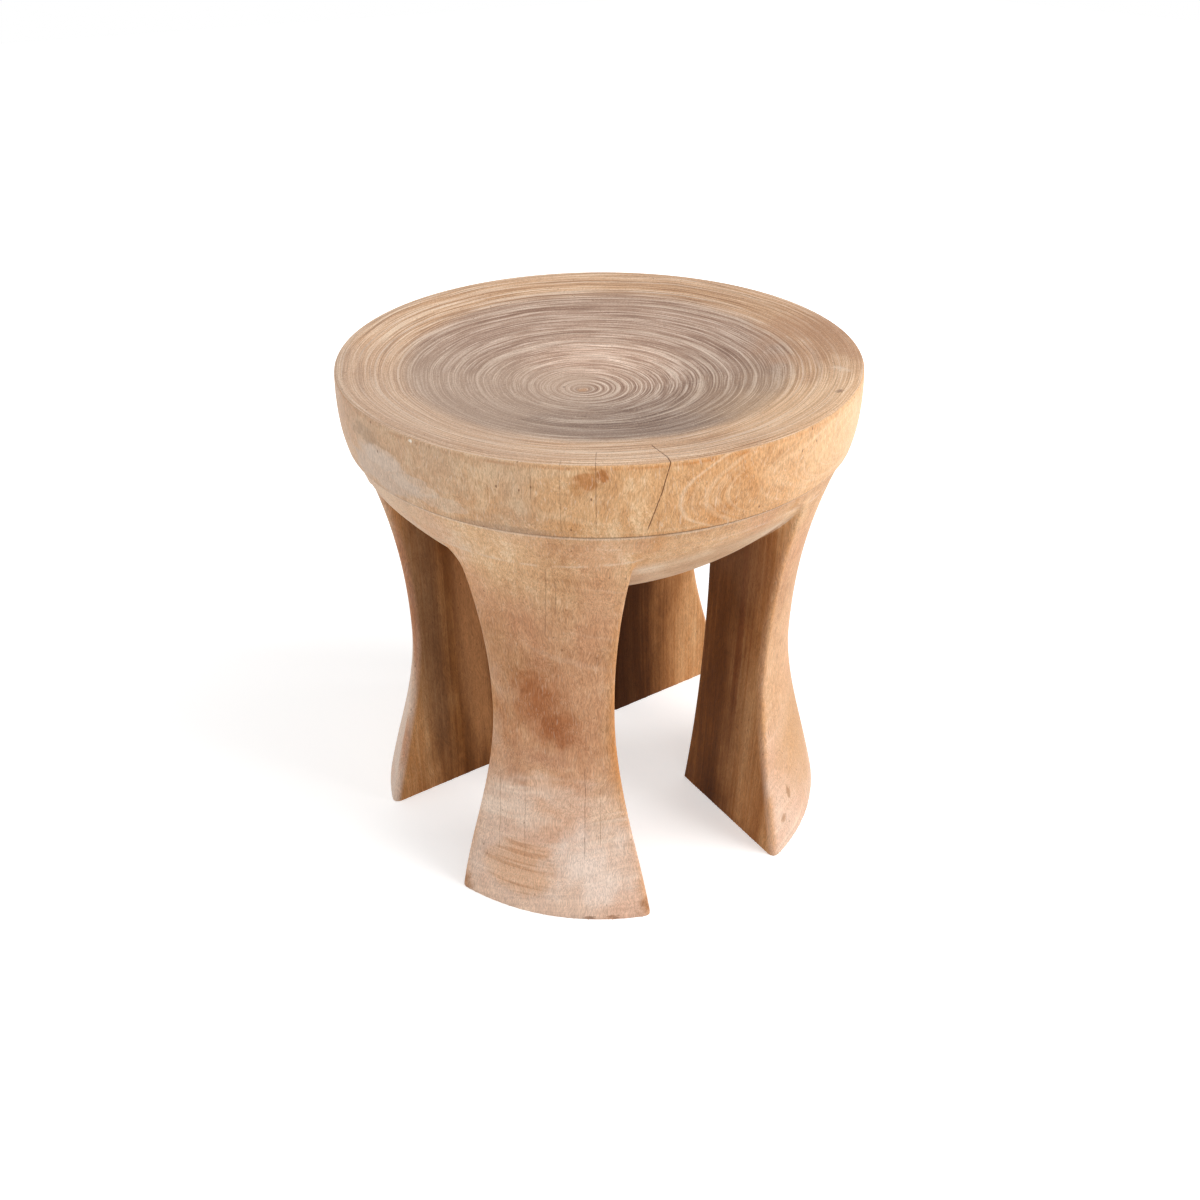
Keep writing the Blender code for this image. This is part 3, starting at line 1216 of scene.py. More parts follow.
class Pores(WoodPattern):
    """Sparse small dark pores, longer up the wood than across it."""

    name = "pores"
    takes = {
        "Position": (Kind.VECTOR, (0.0, 0.0, 0.0)),
        "Spacing": (Kind.VALUE, 0.004),
        "Stretch": (Kind.VALUE, 3.0),
        "Size": (Kind.VALUE, 0.14),
        "Share": (Kind.VALUE, 0.25),
    }
    gives = ("Mask",)

    def draw(self, w: Wiring, given: dict[str, Socket]) -> dict[str, Socket]:
        """The middles of some of the cells of a stretched cell pattern.

        Args:
            w: The group's wiring.
            given: The group's inputs, by name.

        Returns:
            The group's outputs, by name.
        """
        size = w.join(given["Spacing"], given["Spacing"], w.times(given["Spacing"], given["Stretch"]))
        cells = w.node("ShaderNodeTexVoronoi", voronoi_dimensions="3D", feature="F1")
        w.feed(cells.inputs["Vector"], w.vector("DIVIDE", given["Position"], size))
        w.feed(cells.inputs["Scale"], 1.0)
        chance = w.parts(cells.outputs["Color"])[0]
        chosen = w.math("LESS_THAN", chance, given["Share"])
        middle = w.ease(cells.outputs["Distance"], w.times(given["Size"], 0.5), given["Size"], 1.0, 0.0)
        return {"Mask": w.times(chosen, middle)}


class Stain(WoodPattern):
    """A stain or a knot: a soft patch with a ragged edge."""

    name = "stain"
    takes = {
        "Position": (Kind.VECTOR, (0.0, 0.0, 0.0)),
        "Centre": (Kind.VECTOR, (0.0, 0.0, 0.0)),
        "Reach": (Kind.VECTOR, (0.01, 0.01, 0.01)),
        "Ragged": (Kind.VALUE, 0.5),
        "Edge": (Kind.VALUE, 0.4),
    }
    gives = ("Mask", "Depth")
    ragged_scale = 2.2

    def draw(self, w: Wiring, given: dict[str, Socket]) -> dict[str, Socket]:
        """How far inside an ellipsoid the point is, with noise added.

        Args:
            w: The group's wiring.
            given: The group's inputs, by name.

        Returns:
            The group's outputs, by name.
        """
        offset = w.vector("SUBTRACT", given["Position"], given["Centre"])
        share = w.vector("DIVIDE", offset, given["Reach"])
        ragged = w.swing(w.noise(share, self.ragged_scale, 3.0), w.times(given["Ragged"], 2.0))
        far = w.total(w.length(share), ragged)
        return {"Mask": w.ease(far, w.minus(1.0, given["Edge"]), 1.0, 1.0, 0.0), "Depth": far}


class DryingCheck(WoodPattern):
    """A hairline check that runs up the wood along a ray from the pith."""

    name = "drying check"
    takes = {
        "Position": (Kind.VECTOR, (0.0, 0.0, 0.0)),
        "Turn": (Kind.VALUE, 0.0),
        "Lean": (Kind.VALUE, 0.0),
        "Low": (Kind.VALUE, 0.0),
        "High": (Kind.VALUE, 0.4),
        "Inner": (Kind.VALUE, 0.17),
        "Width": (Kind.VALUE, 0.0006),
    }
    gives = ("Mask",)
    wander = 0.0016
    wander_scale = 60.0
    fade = 0.006
    end_fade = 0.002
    core_share = 0.35
    broken_scale = 240.0
    broken_levels = (0.3, 0.48, 0.3, 1.0)

    def draw(self, w: Wiring, given: dict[str, Socket]) -> dict[str, Socket]:
        """A thin sheet that holds the turn's direction, cut off below, above and towards the middle.

        Args:
            w: The group's wiring.
            given: The group's inputs, by name.

        Returns:
            The group's outputs, by name.
        """
        x, y, z = w.parts(given["Position"])
        cosine, sine = w.math("COSINE", given["Turn"]), w.math("SINE", given["Turn"])
        outwards = w.total(w.times(x, cosine), w.times(y, sine))
        sideways = w.minus(w.times(y, cosine), w.times(x, sine))
        climb = w.times(w.minus(z, given["High"]), given["Lean"])
        bent = w.swing(w.noise(w.join(given["Turn"], 0.0, z), self.wander_scale, 2.0), self.wander)
        off = w.math("ABSOLUTE", w.minus(w.minus(sideways, climb), bent))
        broken = w.ease(w.noise(given["Position"], self.broken_scale, 1.0), *self.broken_levels)
        thin = w.ease(off, w.times(given["Width"], self.core_share), given["Width"], 1.0, 0.0)
        above = w.ease(z, given["Low"], w.total(given["Low"], self.fade))
        below = w.ease(z, given["High"], w.total(given["High"], self.end_fade), 1.0, 0.0)
        deep = w.math("GREATER_THAN", outwards, given["Inner"])
        return {"Mask": w.times(thin, above, below, deep, broken)}


GROWTH = GrowthDistance()
RINGS = GrowthRings()
FIBRE = Fibre()
PORES = Pores()
STAIN = Stain()
CHECK = DryingCheck()


# What is laid over the patterns, and the colours of each cut
@dataclass(frozen=True)
class Mark:
    """A stain, knot or washed-out patch at a place on the stool."""

    centre: Triple
    reach: Triple
    colour: Colour
    strength: float
    ragged: float = 0.5
    edge: float = 0.4
    on_wall: bool = False


@dataclass(frozen=True)
class Split:
    """A hairline drying check, by its heading in degrees and its lowest and highest point."""

    heading: float
    low: float
    high: float
    width: float = 0.0006
    lean: float = 0.0
    inner: float = 0.185
    strength: float = 0.8


@dataclass(frozen=True)
class Bulge:
    """A place where the log swelled, so that its rings show as nested arcs on the turned side."""

    heading: float
    height: float
    width: float
    rise: float
    lift: float
    outline: float = 0.5
    ragged: float = 0.045
    radius: float = 0.2


@dataclass(frozen=True)
class Shades:
    """The colours of one cut of the wood, from its darkest streaks to its palest."""

    dark: Colour
    low: Colour
    high: Colour
    pale: Colour

    def at(self, wiring: Wiring, share: Socket) -> Socket:
        """The colour at a share from dark to pale."""
        return wiring.ramp(share, {0.0: self.dark, 0.36: self.low, 0.66: self.high, 1.0: self.pale})


END_GRAIN_HEART = Shades(tone(136, 107, 90), tone(160, 131, 112), tone(180, 152, 133), tone(210, 188, 171))
END_GRAIN_SAP = Shades(tone(158, 118, 86), tone(196, 155, 120), tone(212, 172, 138), tone(236, 209, 181))
SEAT_SIDE = Shades(tone(182, 127, 78), tone(210, 158, 109), tone(223, 175, 127), tone(241, 207, 166))
CROWN_SIDE = Shades(tone(192, 140, 96), tone(218, 171, 127), tone(231, 189, 145), tone(245, 218, 184))
# The legs' sawn walls: darker heartwood, made darker still by painted shade of the arches.
WALL_HEART_AND_SHADE = Shades(tone(78, 42, 16), tone(106, 62, 27), tone(126, 77, 37), tone(160, 106, 58))
WALL_EDGE = Shades(tone(158, 100, 54), tone(188, 130, 80), tone(206, 152, 102), tone(226, 180, 132))
LEG_SIDE = Shades(tone(170, 114, 74), tone(196, 146, 106), tone(210, 164, 124), tone(233, 197, 161))
BOWL = Shades(tone(190, 148, 112), tone(214, 175, 140), tone(226, 192, 158), tone(239, 214, 188))


@dataclass(frozen=True)
class Cloud:
    """Slow noise in the wood, in patches that are drawn out upwards."""

    upright_share: float
    scale: float
    detail: float
    rough: float
    bent: float

    def read(self, w: Wiring, place: Socket) -> Socket:
        """The noise at a place, from 0 to 1."""
        return w.noise(w.upright(place, self.upright_share), self.scale, self.detail, self.rough, self.bent)


@dataclass(frozen=True)
class Drift:
    """Soft patches of another colour that drift over the wood."""

    cloud: Cloud
    levels: tuple[float, float]
    strength: float
    colour: Colour

    def over(self, w: Wiring, noise: Socket, colour: Socket) -> Socket:
        """A colour with the patches laid over it, where the cloud's noise is high."""
        return w.mix(w.ease(noise, *self.levels, 0.0, self.strength), colour, self.colour)


WARM = Drift(Cloud(0.7, 24.0, 3.0, 0.6, 0.9), (0.48, 0.68), 0.42, tone(208, 142, 80))
DULL = Drift(Cloud(0.8, 17.0, 3.0, 0.6, 0.8), (0.54, 0.72), 0.16, tone(176, 122, 84))
BLUSH = Drift(Cloud(0.7, 13.0, 3.0, 0.55, 0.5), (0.44, 0.66), 0.34, tone(212, 152, 118))


@dataclass(frozen=True)
class Surface:
    """What the patterns give at a point, for the finishes to mix."""

    place: Socket
    height: Socket
    distance: Socket
    rings: dict[str, Socket]
    fibre: dict[str, Socket]
    outlines: Feed


# The finishes
@dataclass(frozen=True)
class MangoWood:
    """A finish of the stool's own wood, whose rings run on from piece to piece."""

    name: str
    shades: Shades
    roughness: float = 0.5
    marks: tuple[Mark, ...] = ()
    splits: tuple[Split, ...] = ()
    bulges: tuple[Bulge, ...] = ()
    fibre_width: float = 0.0009
    fibre_length: float = 0.0042
    fibre_contrast: tuple[float, float] = (0.78, 1.1)
    fibre_levels: tuple[float, float] = (0.28, 0.7)
    hair_strength: float = 0.3
    hair_colour: Colour = tone(246, 226, 204)
    crack_colour: Colour = tone(92, 56, 34)
    pore_strength: float = 0.5
    pore_colour: Colour = tone(104, 66, 42)
    roughness_swing: float = 0.25
    grey_heading: float = 178.0
    grey_from: float = 0.35
    grey_to: float = 1.05
    grey_share: float = 0.55
    grey: Colour = tone(198, 170, 147)
    outline_width: float = 0.018
    outline_colour: Colour = tone(246, 218, 186)
    arcs: float = 46.0
    arc_drift: float = 9.0
    arc_strength: float = 0.6
    line_share: float = 0.12
    low_line_share: float = 0.12
    line_heights: tuple[float, float] = (0.03, 0.11)
    arc_centre: Triple = around(-143.5, 0.196, 0.039)
    arc_reach: Triple = (0.04, 0.04, 0.03)
    arc_edge: Triple = around(-134.0, 0.197, 0.039)
    arc_turn: tuple[float, float] = (-0.719, 0.695)
    arc_share: float = 0.85
    specular: float = 0.11
    wall_streaks: Cloud = Cloud(0.14, 46.0, 3.0, 0.5, 0.3)
    wall_zones: Cloud = Cloud(0.4, 15.0, 2.0, 0.5, 0.4)
    wall_levels: tuple[float, float] = (0.34, 0.66)
    mottle: Cloud = Cloud(0.6, 34.0, 3.0, 0.55, 0.8)
    zones: Cloud = Cloud(0.7, 9.0, 2.0, 0.5, 0.4)
    side_levels: tuple[float, float] = (0.33, 0.67)
    grey_waver: float = 0.6
    grey_scale: float = 26.0
    pores: ClassVar[dict[str, float]] = {"spacing": 0.005, "stretch": 2.0, "size": 0.15, "share": 0.18}
    wall_rings: ClassVar[dict[str, float]] = {"Line": 0.1, "Middle": 0.12, "Broad": 0.18}
    side_rings: ClassVar[dict[str, float]] = {"Fine": 0.2, "Line": 0.45, "Middle": 0.35}

    def build(self) -> bpy.types.Material:
        """Make the material.

        Returns:
            The material.
        """
        material = bpy.data.materials.new(self.name)
        material.use_nodes = True
        w = Wiring(material.node_tree)
        shader = material.node_tree.nodes["Principled BSDF"]
        surface = self.surface(w)
        turned = w.minus(1.0, self.sawn(w))
        colour = self.marked(w, surface, turned, self.weather(w, surface, self.colour(w, surface)))
        colour = w.shade(colour, w.ease(surface.fibre["Stroke"], *self.fibre_levels, *self.fibre_contrast))
        hair = w.times(surface.fibre["Hair"], turned, self.hair_strength)
        colour = w.mix(hair, colour, self.hair_colour)
        cracks = self.cracks(w, surface)
        colour = w.mix(cracks, colour, self.crack_colour)
        pores = PORES.place(w, position=surface.place, **self.pores)["Mask"]
        colour = w.mix(w.times(pores, self.pore_strength), colour, self.pore_colour)
        height = w.total(w.times(surface.fibre["Stroke"], 0.5), w.times(surface.rings["Line"], 0.35))
        hollow = w.total(w.times(cracks, 1.6), w.times(pores, 0.5))
        bump = w.bump(w.minus(height, hollow), 0.4, 0.0005)
        w.feed(shader.inputs["Normal"], bump)
        w.feed(shader.inputs["Base Color"], colour)
        roughness = w.total(self.roughness, w.swing(surface.fibre["Patch"], self.roughness_swing))
        w.feed(shader.inputs["Roughness"], roughness)
        shader.inputs["Specular IOR Level"].default_value = self.specular
        return material

    def marked(self, w: Wiring, surface: Surface, turned: Socket, colour: Socket) -> Socket:
        """Lay the marks over the wood.

        Args:
            w: The material's wiring.
            surface: The patterns at the point.
            turned: A mask of the turned outside, which most marks keep to.
            colour: The colour below the marks.

        Returns:
            The colour with the marks.
        """
        for mark in self.marks:
            shape = {name: getattr(mark, name) for name in ("centre", "reach", "ragged", "edge")}
            patch = STAIN.place(w, position=surface.place, **shape)["Mask"]
            where = self.sawn(w) if mark.on_wall else turned
            colour = w.mix(w.times(patch, where, mark.strength), colour, mark.colour)
        return colour

    def surface(self, w: Wiring) -> Surface:
        """Read all the patterns at the point.

        Args:
            w: The material's wiring.

        Returns:
            What they give, with the rings lifted over each bulge.
        """
        place = w.node("ShaderNodeTexCoord").outputs["Object"]
        height = w.parts(place)[2]
        growth = GROWTH.place(w, position=place)
        distance = growth["Distance"]
        outlines: Feed = 0.0
        for bulge in self.bulges:
            centre = around(bulge.heading, bulge.radius, bulge.height)
            reach = (bulge.width, bulge.width, bulge.rise)
            far = STAIN.place(w, position=place, centre=centre, reach=reach, ragged=bulge.ragged)["Depth"]
            turn = w.vector("MULTIPLY", place, (self.arc_drift, self.arc_drift, 0.0))
            crossing = w.vector("ADD", turn, w.join(0.0, 0.0, w.times(far, self.arcs)))
            arcs = w.ease(w.noise(crossing, 1.0, 1.0), 0.5, 0.7)
            within = w.times(w.ease(far, 0.92, 1.12, 1.0, 0.0), w.ease(far, 0.05, 0.3))
            outlines = w.math("MAXIMUM", outlines, w.times(arcs, within, bulge.outline, self.arc_strength))
            lifted = w.math("EXPONENT", w.times(far, far, -1.0))
            distance = w.total(distance, w.times(lifted, self.on_side(w, place), bulge.lift))
            line = w.times(w.near(far, 1.0, self.outline_width), bulge.outline)
            outlines = w.math("MAXIMUM", outlines, line)
        rings = RINGS.place(w, distance=distance, heading=growth["Heading"], height=height)
        fibre = FIBRE.place(w, position=place, width=self.fibre_width, length=self.fibre_length)
        return Surface(place, height, distance, rings, fibre, outlines)

    def on_side(self, w: Wiring, place: Socket) -> Feed:
        """A mask of the long grain, where bulges show."""
        return 1.0

    @staticmethod
    def sawn(w: Wiring) -> Feed:
        """A mask of the sawn walls, which the seat hasn't."""
        return 0.0

    def cracks(self, w: Wiring, surface: Surface) -> Feed:
        """A mask of all the drying checks.

        Args:
            w: The material's wiring.
            surface: The patterns at the point.

        Returns:
            The mask.
        """
        cracks: Feed = 0.0
        for split in self.splits:
            sizes = {name: getattr(split, name) for name in ("lean", "low", "high", "inner", "width")}
            line = CHECK.place(w, position=surface.place, turn=math.radians(split.heading), **sizes)["Mask"]
            cracks = w.math("MAXIMUM", cracks, w.times(line, split.strength))
        return cracks

    def wall_share(self, w: Wiring, surface: Surface) -> Socket:
        """How dark or pale the wood is at a point of a sawn wall, in calm upright streaks.

        Args:
            w: The material's wiring.
            surface: The patterns at the point.

        Returns:
            The share, from 0 to 1.
        """
        streaks = w.total(
            w.weigh(surface.rings, **self.wall_rings),
            w.times(self.wall_streaks.read(w, surface.place), 0.28),
            w.times(self.wall_zones.read(w, surface.place), 0.22),
            w.weigh(surface.fibre, Patch=0.1),
        )
        return w.ease(streaks, *self.wall_levels)

    def side_share(self, w: Wiring, surface: Surface) -> Socket:
        """How dark or pale the wood is at a point of a turned side, from 0 to 1.

        Args:
            w: The material's wiring.
            surface: The patterns at the point.

        Returns:
            The share.
        """
        lines = w.weigh(surface.rings, **self.side_rings)
        clouds = w.total(
            w.times(self.mottle.read(w, surface.place), 0.26),
            w.weigh(surface.rings, Broad=0.1),
            w.times(self.zones.read(w, surface.place), 0.3),
            w.weigh(surface.fibre, Patch=0.2, Stroke=0.14),
        )
        share = w.ease(surface.height, *self.line_heights, self.low_line_share, self.line_share)
        more = w.minus(self.arc_share, share)
        share = w.total(share, w.times(self.ring_patch(w, surface), more))
        streaks = w.total(w.times(lines, share), w.times(clouds, w.minus(1.0, share)))
        return w.ease(streaks, *self.side_levels)

    def ring_patch(self, w: Wiring, surface: Surface) -> Feed:
        """A mask of the patch of rings at the front foot, which ends abruptly at its right.

        Args:
            w: The material's wiring.
            surface: The patterns at the point.

        Returns:
            The mask.
        """
        shape = {"centre": self.arc_centre, "reach": self.arc_reach, "ragged": 0.2, "edge": 0.35}
        patch = STAIN.place(w, position=surface.place, **shape)
        side = w.parts(w.vector("SUBTRACT", surface.place, self.arc_edge))
        beyond = w.total(w.times(side[0], self.arc_turn[0]), w.times(side[1], self.arc_turn[1]))
        return w.times(patch["Mask"], w.ease(beyond, 0.0, 0.0012))

    def colour(self, w: Wiring, surface: Surface) -> Socket:
        """The colour of the wood before wear and marks.

        Args:
            w: The material's wiring.
            surface: The patterns at the point.

        Returns:
            The colour.
        """
        colour = self.shades.at(w, self.side_share(w, surface))
        colour = w.mix(w.times(surface.rings["Pale"], 0.25), colour, self.shades.pale)
        return w.mix(surface.outlines, colour, self.outline_colour)

    def weather(self, w: Wiring, surface: Surface, colour: Socket) -> Socket:
        """Grey the side of the stool that faces left in the photograph.

        Args:
            w: The material's wiring.
            surface: The patterns at the point.
            colour: The colour before.

        Returns:
            The weathered colour.
        """
        angle = math.radians(self.grey_heading)
        facing = w.vector("NORMALIZE", w.upright(surface.place, 0.0))
        fx, fy, _ = w.parts(facing)
        turned = w.total(w.times(fx, math.cos(angle)), w.times(fy, math.sin(angle)))
        uneven = w.swing(w.noise(surface.place, self.grey_scale, 2.0), self.grey_waver)
        grey = w.ease(w.total(turned, uneven), self.grey_from, self.grey_to, 0.0, self.grey_share)
        return w.mix(grey, colour, self.grey)


@dataclass(frozen=True)
class SeatWood(MangoWood):
    """The seat's finish: end grain on top, with a grey heart and a tan rim."""

    rim_radius: float = 0.199
    top_low: float = 0.385
    heart_centre: Triple = (0.004, 0.006, 0.0)
    heart_radius: float = 0.151
    heart_edge: float = 0.01
    # The seam fields draw a painted shadow: a dark line along the seat's lower edge where it meets the crown.
    seam_height: float = 0.3562
    seam_shadow_width: float = 0.0022
    seam_shadow_colour: Colour = tone(78, 48, 30)
    under_rim: float = 0.4078
    under_rim_width: float = 0.0016
    under_rim_colour: Colour = tone(198, 128, 66)
    pale_ring: Colour = tone(233, 212, 192)
    dark_ring: Colour = tone(126, 95, 75)
    top_rings: ClassVar[dict[str, float]] = {"Fine": 0.28, "Line": 0.38, "Middle": 0.16, "Broad": 0.12}
    tones: ClassVar[dict[float, Colour]] = {
        0.0: (1.54, 1.54, 1.54, 1.0),
        0.22: (1.4, 1.4, 1.4, 1.0),
        0.4: (1.03, 1.02, 1.02, 1.0),
        0.56: (0.94, 0.92, 0.92, 1.0),
        0.72: (0.97, 0.96, 0.95, 1.0),
        0.8: (1.0, 1.0, 1.0, 1.0),
    }
    # The dish shade fields paint shade into the dish: darker towards its front-left, lighter towards its
    # back-right.
    dish_shade_side: tuple[float, float] = (-0.57, -0.82)
    dish_shade_levels: tuple[float, float, float, float] = (-0.11, 0.11, 1.12, 0.66)
    dark_rings: tuple[tuple[float, float, float], ...] = (
        (0.0044, 0.0009, 0.8),
        (0.0098, 0.0009, 0.7),
        (0.015, 0.001, 0.65),
        (0.0205, 0.001, 0.55),
        (0.0285, 0.0011, 0.5),
        (0.0365, 0.0012, 0.42),
        (0.047, 0.0012, 0.36),
        (0.061, 0.0012, 0.32),
        (0.099, 0.0024, 0.3),
        (0.118, 0.002, 0.3),
        (0.129, 0.0016, 0.26),
        (0.141, 0.0016, 0.22),
    )
    pale_rings: tuple[tuple[float, float, float], ...] = (
        (0.0072, 0.0012, 0.7),
        (0.0125, 0.0012, 0.65),
        (0.0178, 0.0012, 0.6),
        (0.025, 0.001, 0.65),
        (0.032, 0.001, 0.6),
        (0.041, 0.0011, 0.6),
        (0.056, 0.0009, 0.4),
        (0.08, 0.001, 0.5),
        (0.085, 0.002, 0.6),
        (0.1045, 0.0013, 0.5),
        (0.123, 0.0012, 0.45),
        (0.149, 0.0011, 0.55),
        (0.162, 0.001, 0.5),
        (0.168, 0.0015, 0.75),
        (0.1825, 0.0011, 0.6),
    )

    def on_side(self, w: Wiring, place: Socket) -> Socket:
        """A mask of the side, which leaves out the top.

        Args:
            w: The material's wiring.
            place: The point.

        Returns:
            The mask.
        """
        flat = w.upright(place, 0.0)
        inside = w.ease(w.length(flat), self.rim_radius, self.rim_radius + 0.0006, 1.0, 0.0)
        above = w.ease(w.parts(place)[2], self.top_low, self.top_low + 0.002)
        return w.minus(1.0, w.times(inside, above))

    def colour(self, w: Wiring, surface: Surface) -> Socket:
        """End grain on top and long grain on the side, with a painted shadow line where the seat meets the
        crown.

        Args:
            w: The material's wiring.
            surface: The patterns at the point.

        Returns:
            The colour.
        """
        side = super().colour(w, surface)
        side = WARM.over(w, WARM.cloud.read(w, surface.place), side)
        # Painted shadow: a dark line along the seat's lower edge, at the seam with the crown.
        seam_shadow = w.ease(surface.height, self.seam_height, self.seam_height + self.seam_shadow_width, 0.9, 0.0)
        side = w.mix(seam_shadow, side, self.seam_shadow_colour)
        uneven = w.ease(w.noise(surface.place, 60.0, 2.0), 0.4, 0.6, 0.1, 0.55)
        under_rim = w.times(w.near(surface.height, self.under_rim, self.under_rim_width), uneven)
        side = w.mix(under_rim, side, self.under_rim_colour)
        flat = w.upright(surface.place, 0.0)
        return w.mix(self.on_side(w, surface.place), self.top_colour(w, surface, flat), side)

    def top_colour(self, w: Wiring, surface: Surface, flat: Socket) -> Socket:
        """The rings of the top, with painted shade that darkens the dish towards its front-left.

        Args:
            w: The material's wiring.
            surface: The patterns at the point.
            flat: The point, laid on the floor.

        Returns:
            Their colour.
        """
        streaks = w.total(w.weigh(surface.rings, **self.top_rings), w.weigh(surface.fibre, Stroke=0.06))
        share = w.ease(streaks, 0.39, 0.61)
        uneven = w.swing(w.noise(flat, 22.0, 2.0), 0.01)
        reach = w.total(w.length(w.vector("SUBTRACT", flat, self.heart_centre)), uneven)
        outer = w.ease(reach, self.heart_radius - self.heart_edge, self.heart_radius + self.heart_edge)
        top = w.mix(outer, END_GRAIN_HEART.at(w, share), END_GRAIN_SAP.at(w, share))
        top = w.mix(1.0, top, w.ramp(w.math("DIVIDE", reach, self.rim_radius), self.tones), "MULTIPLY")
        # Painted shade across the dish, inside the grey heart only.
        across, along, _ = w.parts(flat)
        towards = w.total(w.times(across, self.dish_shade_side[0]), w.times(along, self.dish_shade_side[1]))
        fall = w.ease(towards, *self.dish_shade_levels)
        dish_shade = w.mix(outer, w.join(fall, fall, fall), (1.0, 1.0, 1.0, 1.0))
        top = w.mix(1.0, top, dish_shade, "MULTIPLY")
        patches = w.ease(w.noise(flat, 14.0, 1.0), 0.36, 0.6, 0.25, 1.0)
        pale = w.weigh(surface.rings, Pale=0.5)
        pale = self.ring_lines(w, surface.distance, self.pale_rings, patches, pale)
        dark = w.weigh(surface.rings, Dark=0.42)
        dark = self.ring_lines(w, surface.distance, self.dark_rings, patches, dark)
        return w.mix(dark, w.mix(pale, top, self.pale_ring), self.dark_ring)

    @staticmethod
    def ring_lines(
        w: Wiring,
        distance: Socket,
        lines: tuple[tuple[float, float, float], ...],
        patches: Socket,
        start: Socket,
    ) -> Socket:
        """Add single growth rings to a mask.

        Args:
            w: The material's wiring.
            distance: The growth distance at the point.
            lines: The distance, half width and strength of each ring.
            patches: How strongly they show at the point.
            start: The mask to add them to.

        Returns:
            The mask with the rings.
        """
        mask = start
        for level, width, strength in lines:
            line = w.times(w.near(distance, level, width), strength, patches)
            mask = w.math("MAXIMUM", mask, line)
        return mask


@dataclass(frozen=True)
class TurnedWood(MangoWood):
    """The finish of the crown and the legs: turned long grain outside, darker sawn heartwood inside, and
    painted shade on the legs' walls.
    """

    inside: Shades = WALL_HEART_AND_SHADE
    inside_edge: Shades = WALL_EDGE
    upper: Shades = CROWN_SIDE
    blend_heights: tuple[float, float] = (0.255, 0.335)
    edge_start: float = 0.115
    edge_end: float = 0.168
    foot_low: float = 0.045
    foot_high: float = 0.15
    foot_pale: float = 0.56
    foot_colour: Colour = tone(247, 223, 206)
    flare_rings: tuple[float, float, float, float] = (0.04, 0.14, 0.42, 0.1)
    pale_streaks: tuple[float, float, float, float] = (0.1, 0.16, 0.34, 0.1)
    streak_colour: Colour = tone(240, 216, 194)
    patch_colour: Colour = tone(226, 176, 134)
    patch_lines: Triple = (16.0, 16.0, 330.0)
    patch_line_colour: Colour = tone(176, 120, 80)
    # The lip fields draw a painted highlight: a pale band along the crown's top edge, under the seat.
    lip_highlight_height: float = 0.3528
    lip_highlight_width: float = 0.0012
    lip_highlight_colour: Colour = tone(244, 220, 194)
    worn_colour: Colour = tone(208, 148, 92)
    joint_colour: Colour = tone(240, 214, 186)

    @staticmethod
    def painted(w: Wiring, name: str) -> Socket:
        """A mask that was stored on the piece."""
        return w.node("ShaderNodeAttribute", attribute_name=name).outputs["Fac"]

    @staticmethod
    def sawn(w: Wiring) -> Socket:
        """The painted mask of the sawn walls and of the dome."""
        return TurnedWood.painted(w, "sawn")

    def weather(self, w: Wiring, surface: Surface, colour: Socket) -> Socket:
        """Grey only the turned outside."""
        return w.mix(self.sawn(w), super().weather(w, surface, colour), colour)

    def colour(self, w: Wiring, surface: Surface) -> Socket:
        """Paler towards the foot, dark on the sawn walls, where the heartwood carries painted shade, with
        worn edges and a painted highlight along the crown's top edge.

        Args:
            w: The material's wiring.
            surface: The patterns at the point.

        Returns:
            The colour.
        """
        cloud = DULL.cloud.read(w, surface.place)
        # On the legs the walls are dark heartwood with painted shade, paler towards the turned edge; the
        # crown's dome keeps its own pale colour.
        near_edge = w.ease(w.total(surface.distance, w.swing(cloud, 0.03)), self.edge_start, self.edge_end)
        deep = self.wall_share(w, surface)
        walls = w.mix(near_edge, self.inside.at(w, deep), self.inside_edge.at(w, deep))
        colour = w.mix(self.sawn(w), self.outside(w, surface, cloud), walls)
        # Painted highlight: a pale band along the crown's top edge.
        lip_highlight = w.ease(surface.height, self.lip_highlight_height, self.lip_highlight_height + self.lip_highlight_width, 0.0, 0.45)
        colour = w.mix(lip_highlight, colour, self.lip_highlight_colour)
        worn = w.times(self.painted(w, "arris"), w.ease(cloud, 0.38, 0.58, 0.15, 0.7))
        colour = w.mix(worn, colour, self.worn_colour)
        broken = w.ease(w.noise(surface.place, 75.0, 1.0), 0.42, 0.58)
        return w.mix(w.times(self.painted(w, "joint"), broken, 0.5), colour, self.joint_colour)

    def outside(self, w: Wiring, surface: Surface, cloud: Socket) -> Socket:
        """The colour of the turned outside.

        Args:
            w: The material's wiring.
            surface: The patterns at the point.
            cloud: The slow noise that its patches follow.

        Returns:
            The colour.
        """
        share = self.side_share(w, surface)
        upper = w.ease(surface.height, *self.blend_heights)
        outside = w.mix(upper, self.shades.at(w, share), self.upper.at(w, share))
        outside = DULL.over(w, cloud, outside)
        low = w.total(surface.height, w.swing(cloud, 0.1))
        foot = w.ease(low, self.foot_low, self.foot_high, self.foot_pale, 0.0)
        outside = w.mix(foot, outside, self.foot_colour)
        ringed = w.weigh(surface.rings, Fine=0.4, Line=0.6)
        flared = w.ease(surface.height, *self.flare_rings)
        outside = w.mix(flared, outside, w.shade(outside, w.ease(ringed, 0.38, 0.62, 0.87, 1.07)))
        outside = BLUSH.over(w, BLUSH.cloud.read(w, surface.place), outside)
        streaked = w.ease(surface.height, *self.pale_streaks)
        outside = w.mix(w.times(surface.rings["Pale"], streaked), outside, self.streak_colour)
        patch = self.ring_patch(w, surface)
        outside = w.mix(w.times(patch, 0.5), outside, self.patch_colour)
        lines = w.noise(w.vector("MULTIPLY", surface.place, self.patch_lines), 1.0, 1.0)
        return w.mix(w.times(patch, w.ease(lines, 0.44, 0.6), 0.45), outside, self.patch_line_colour)


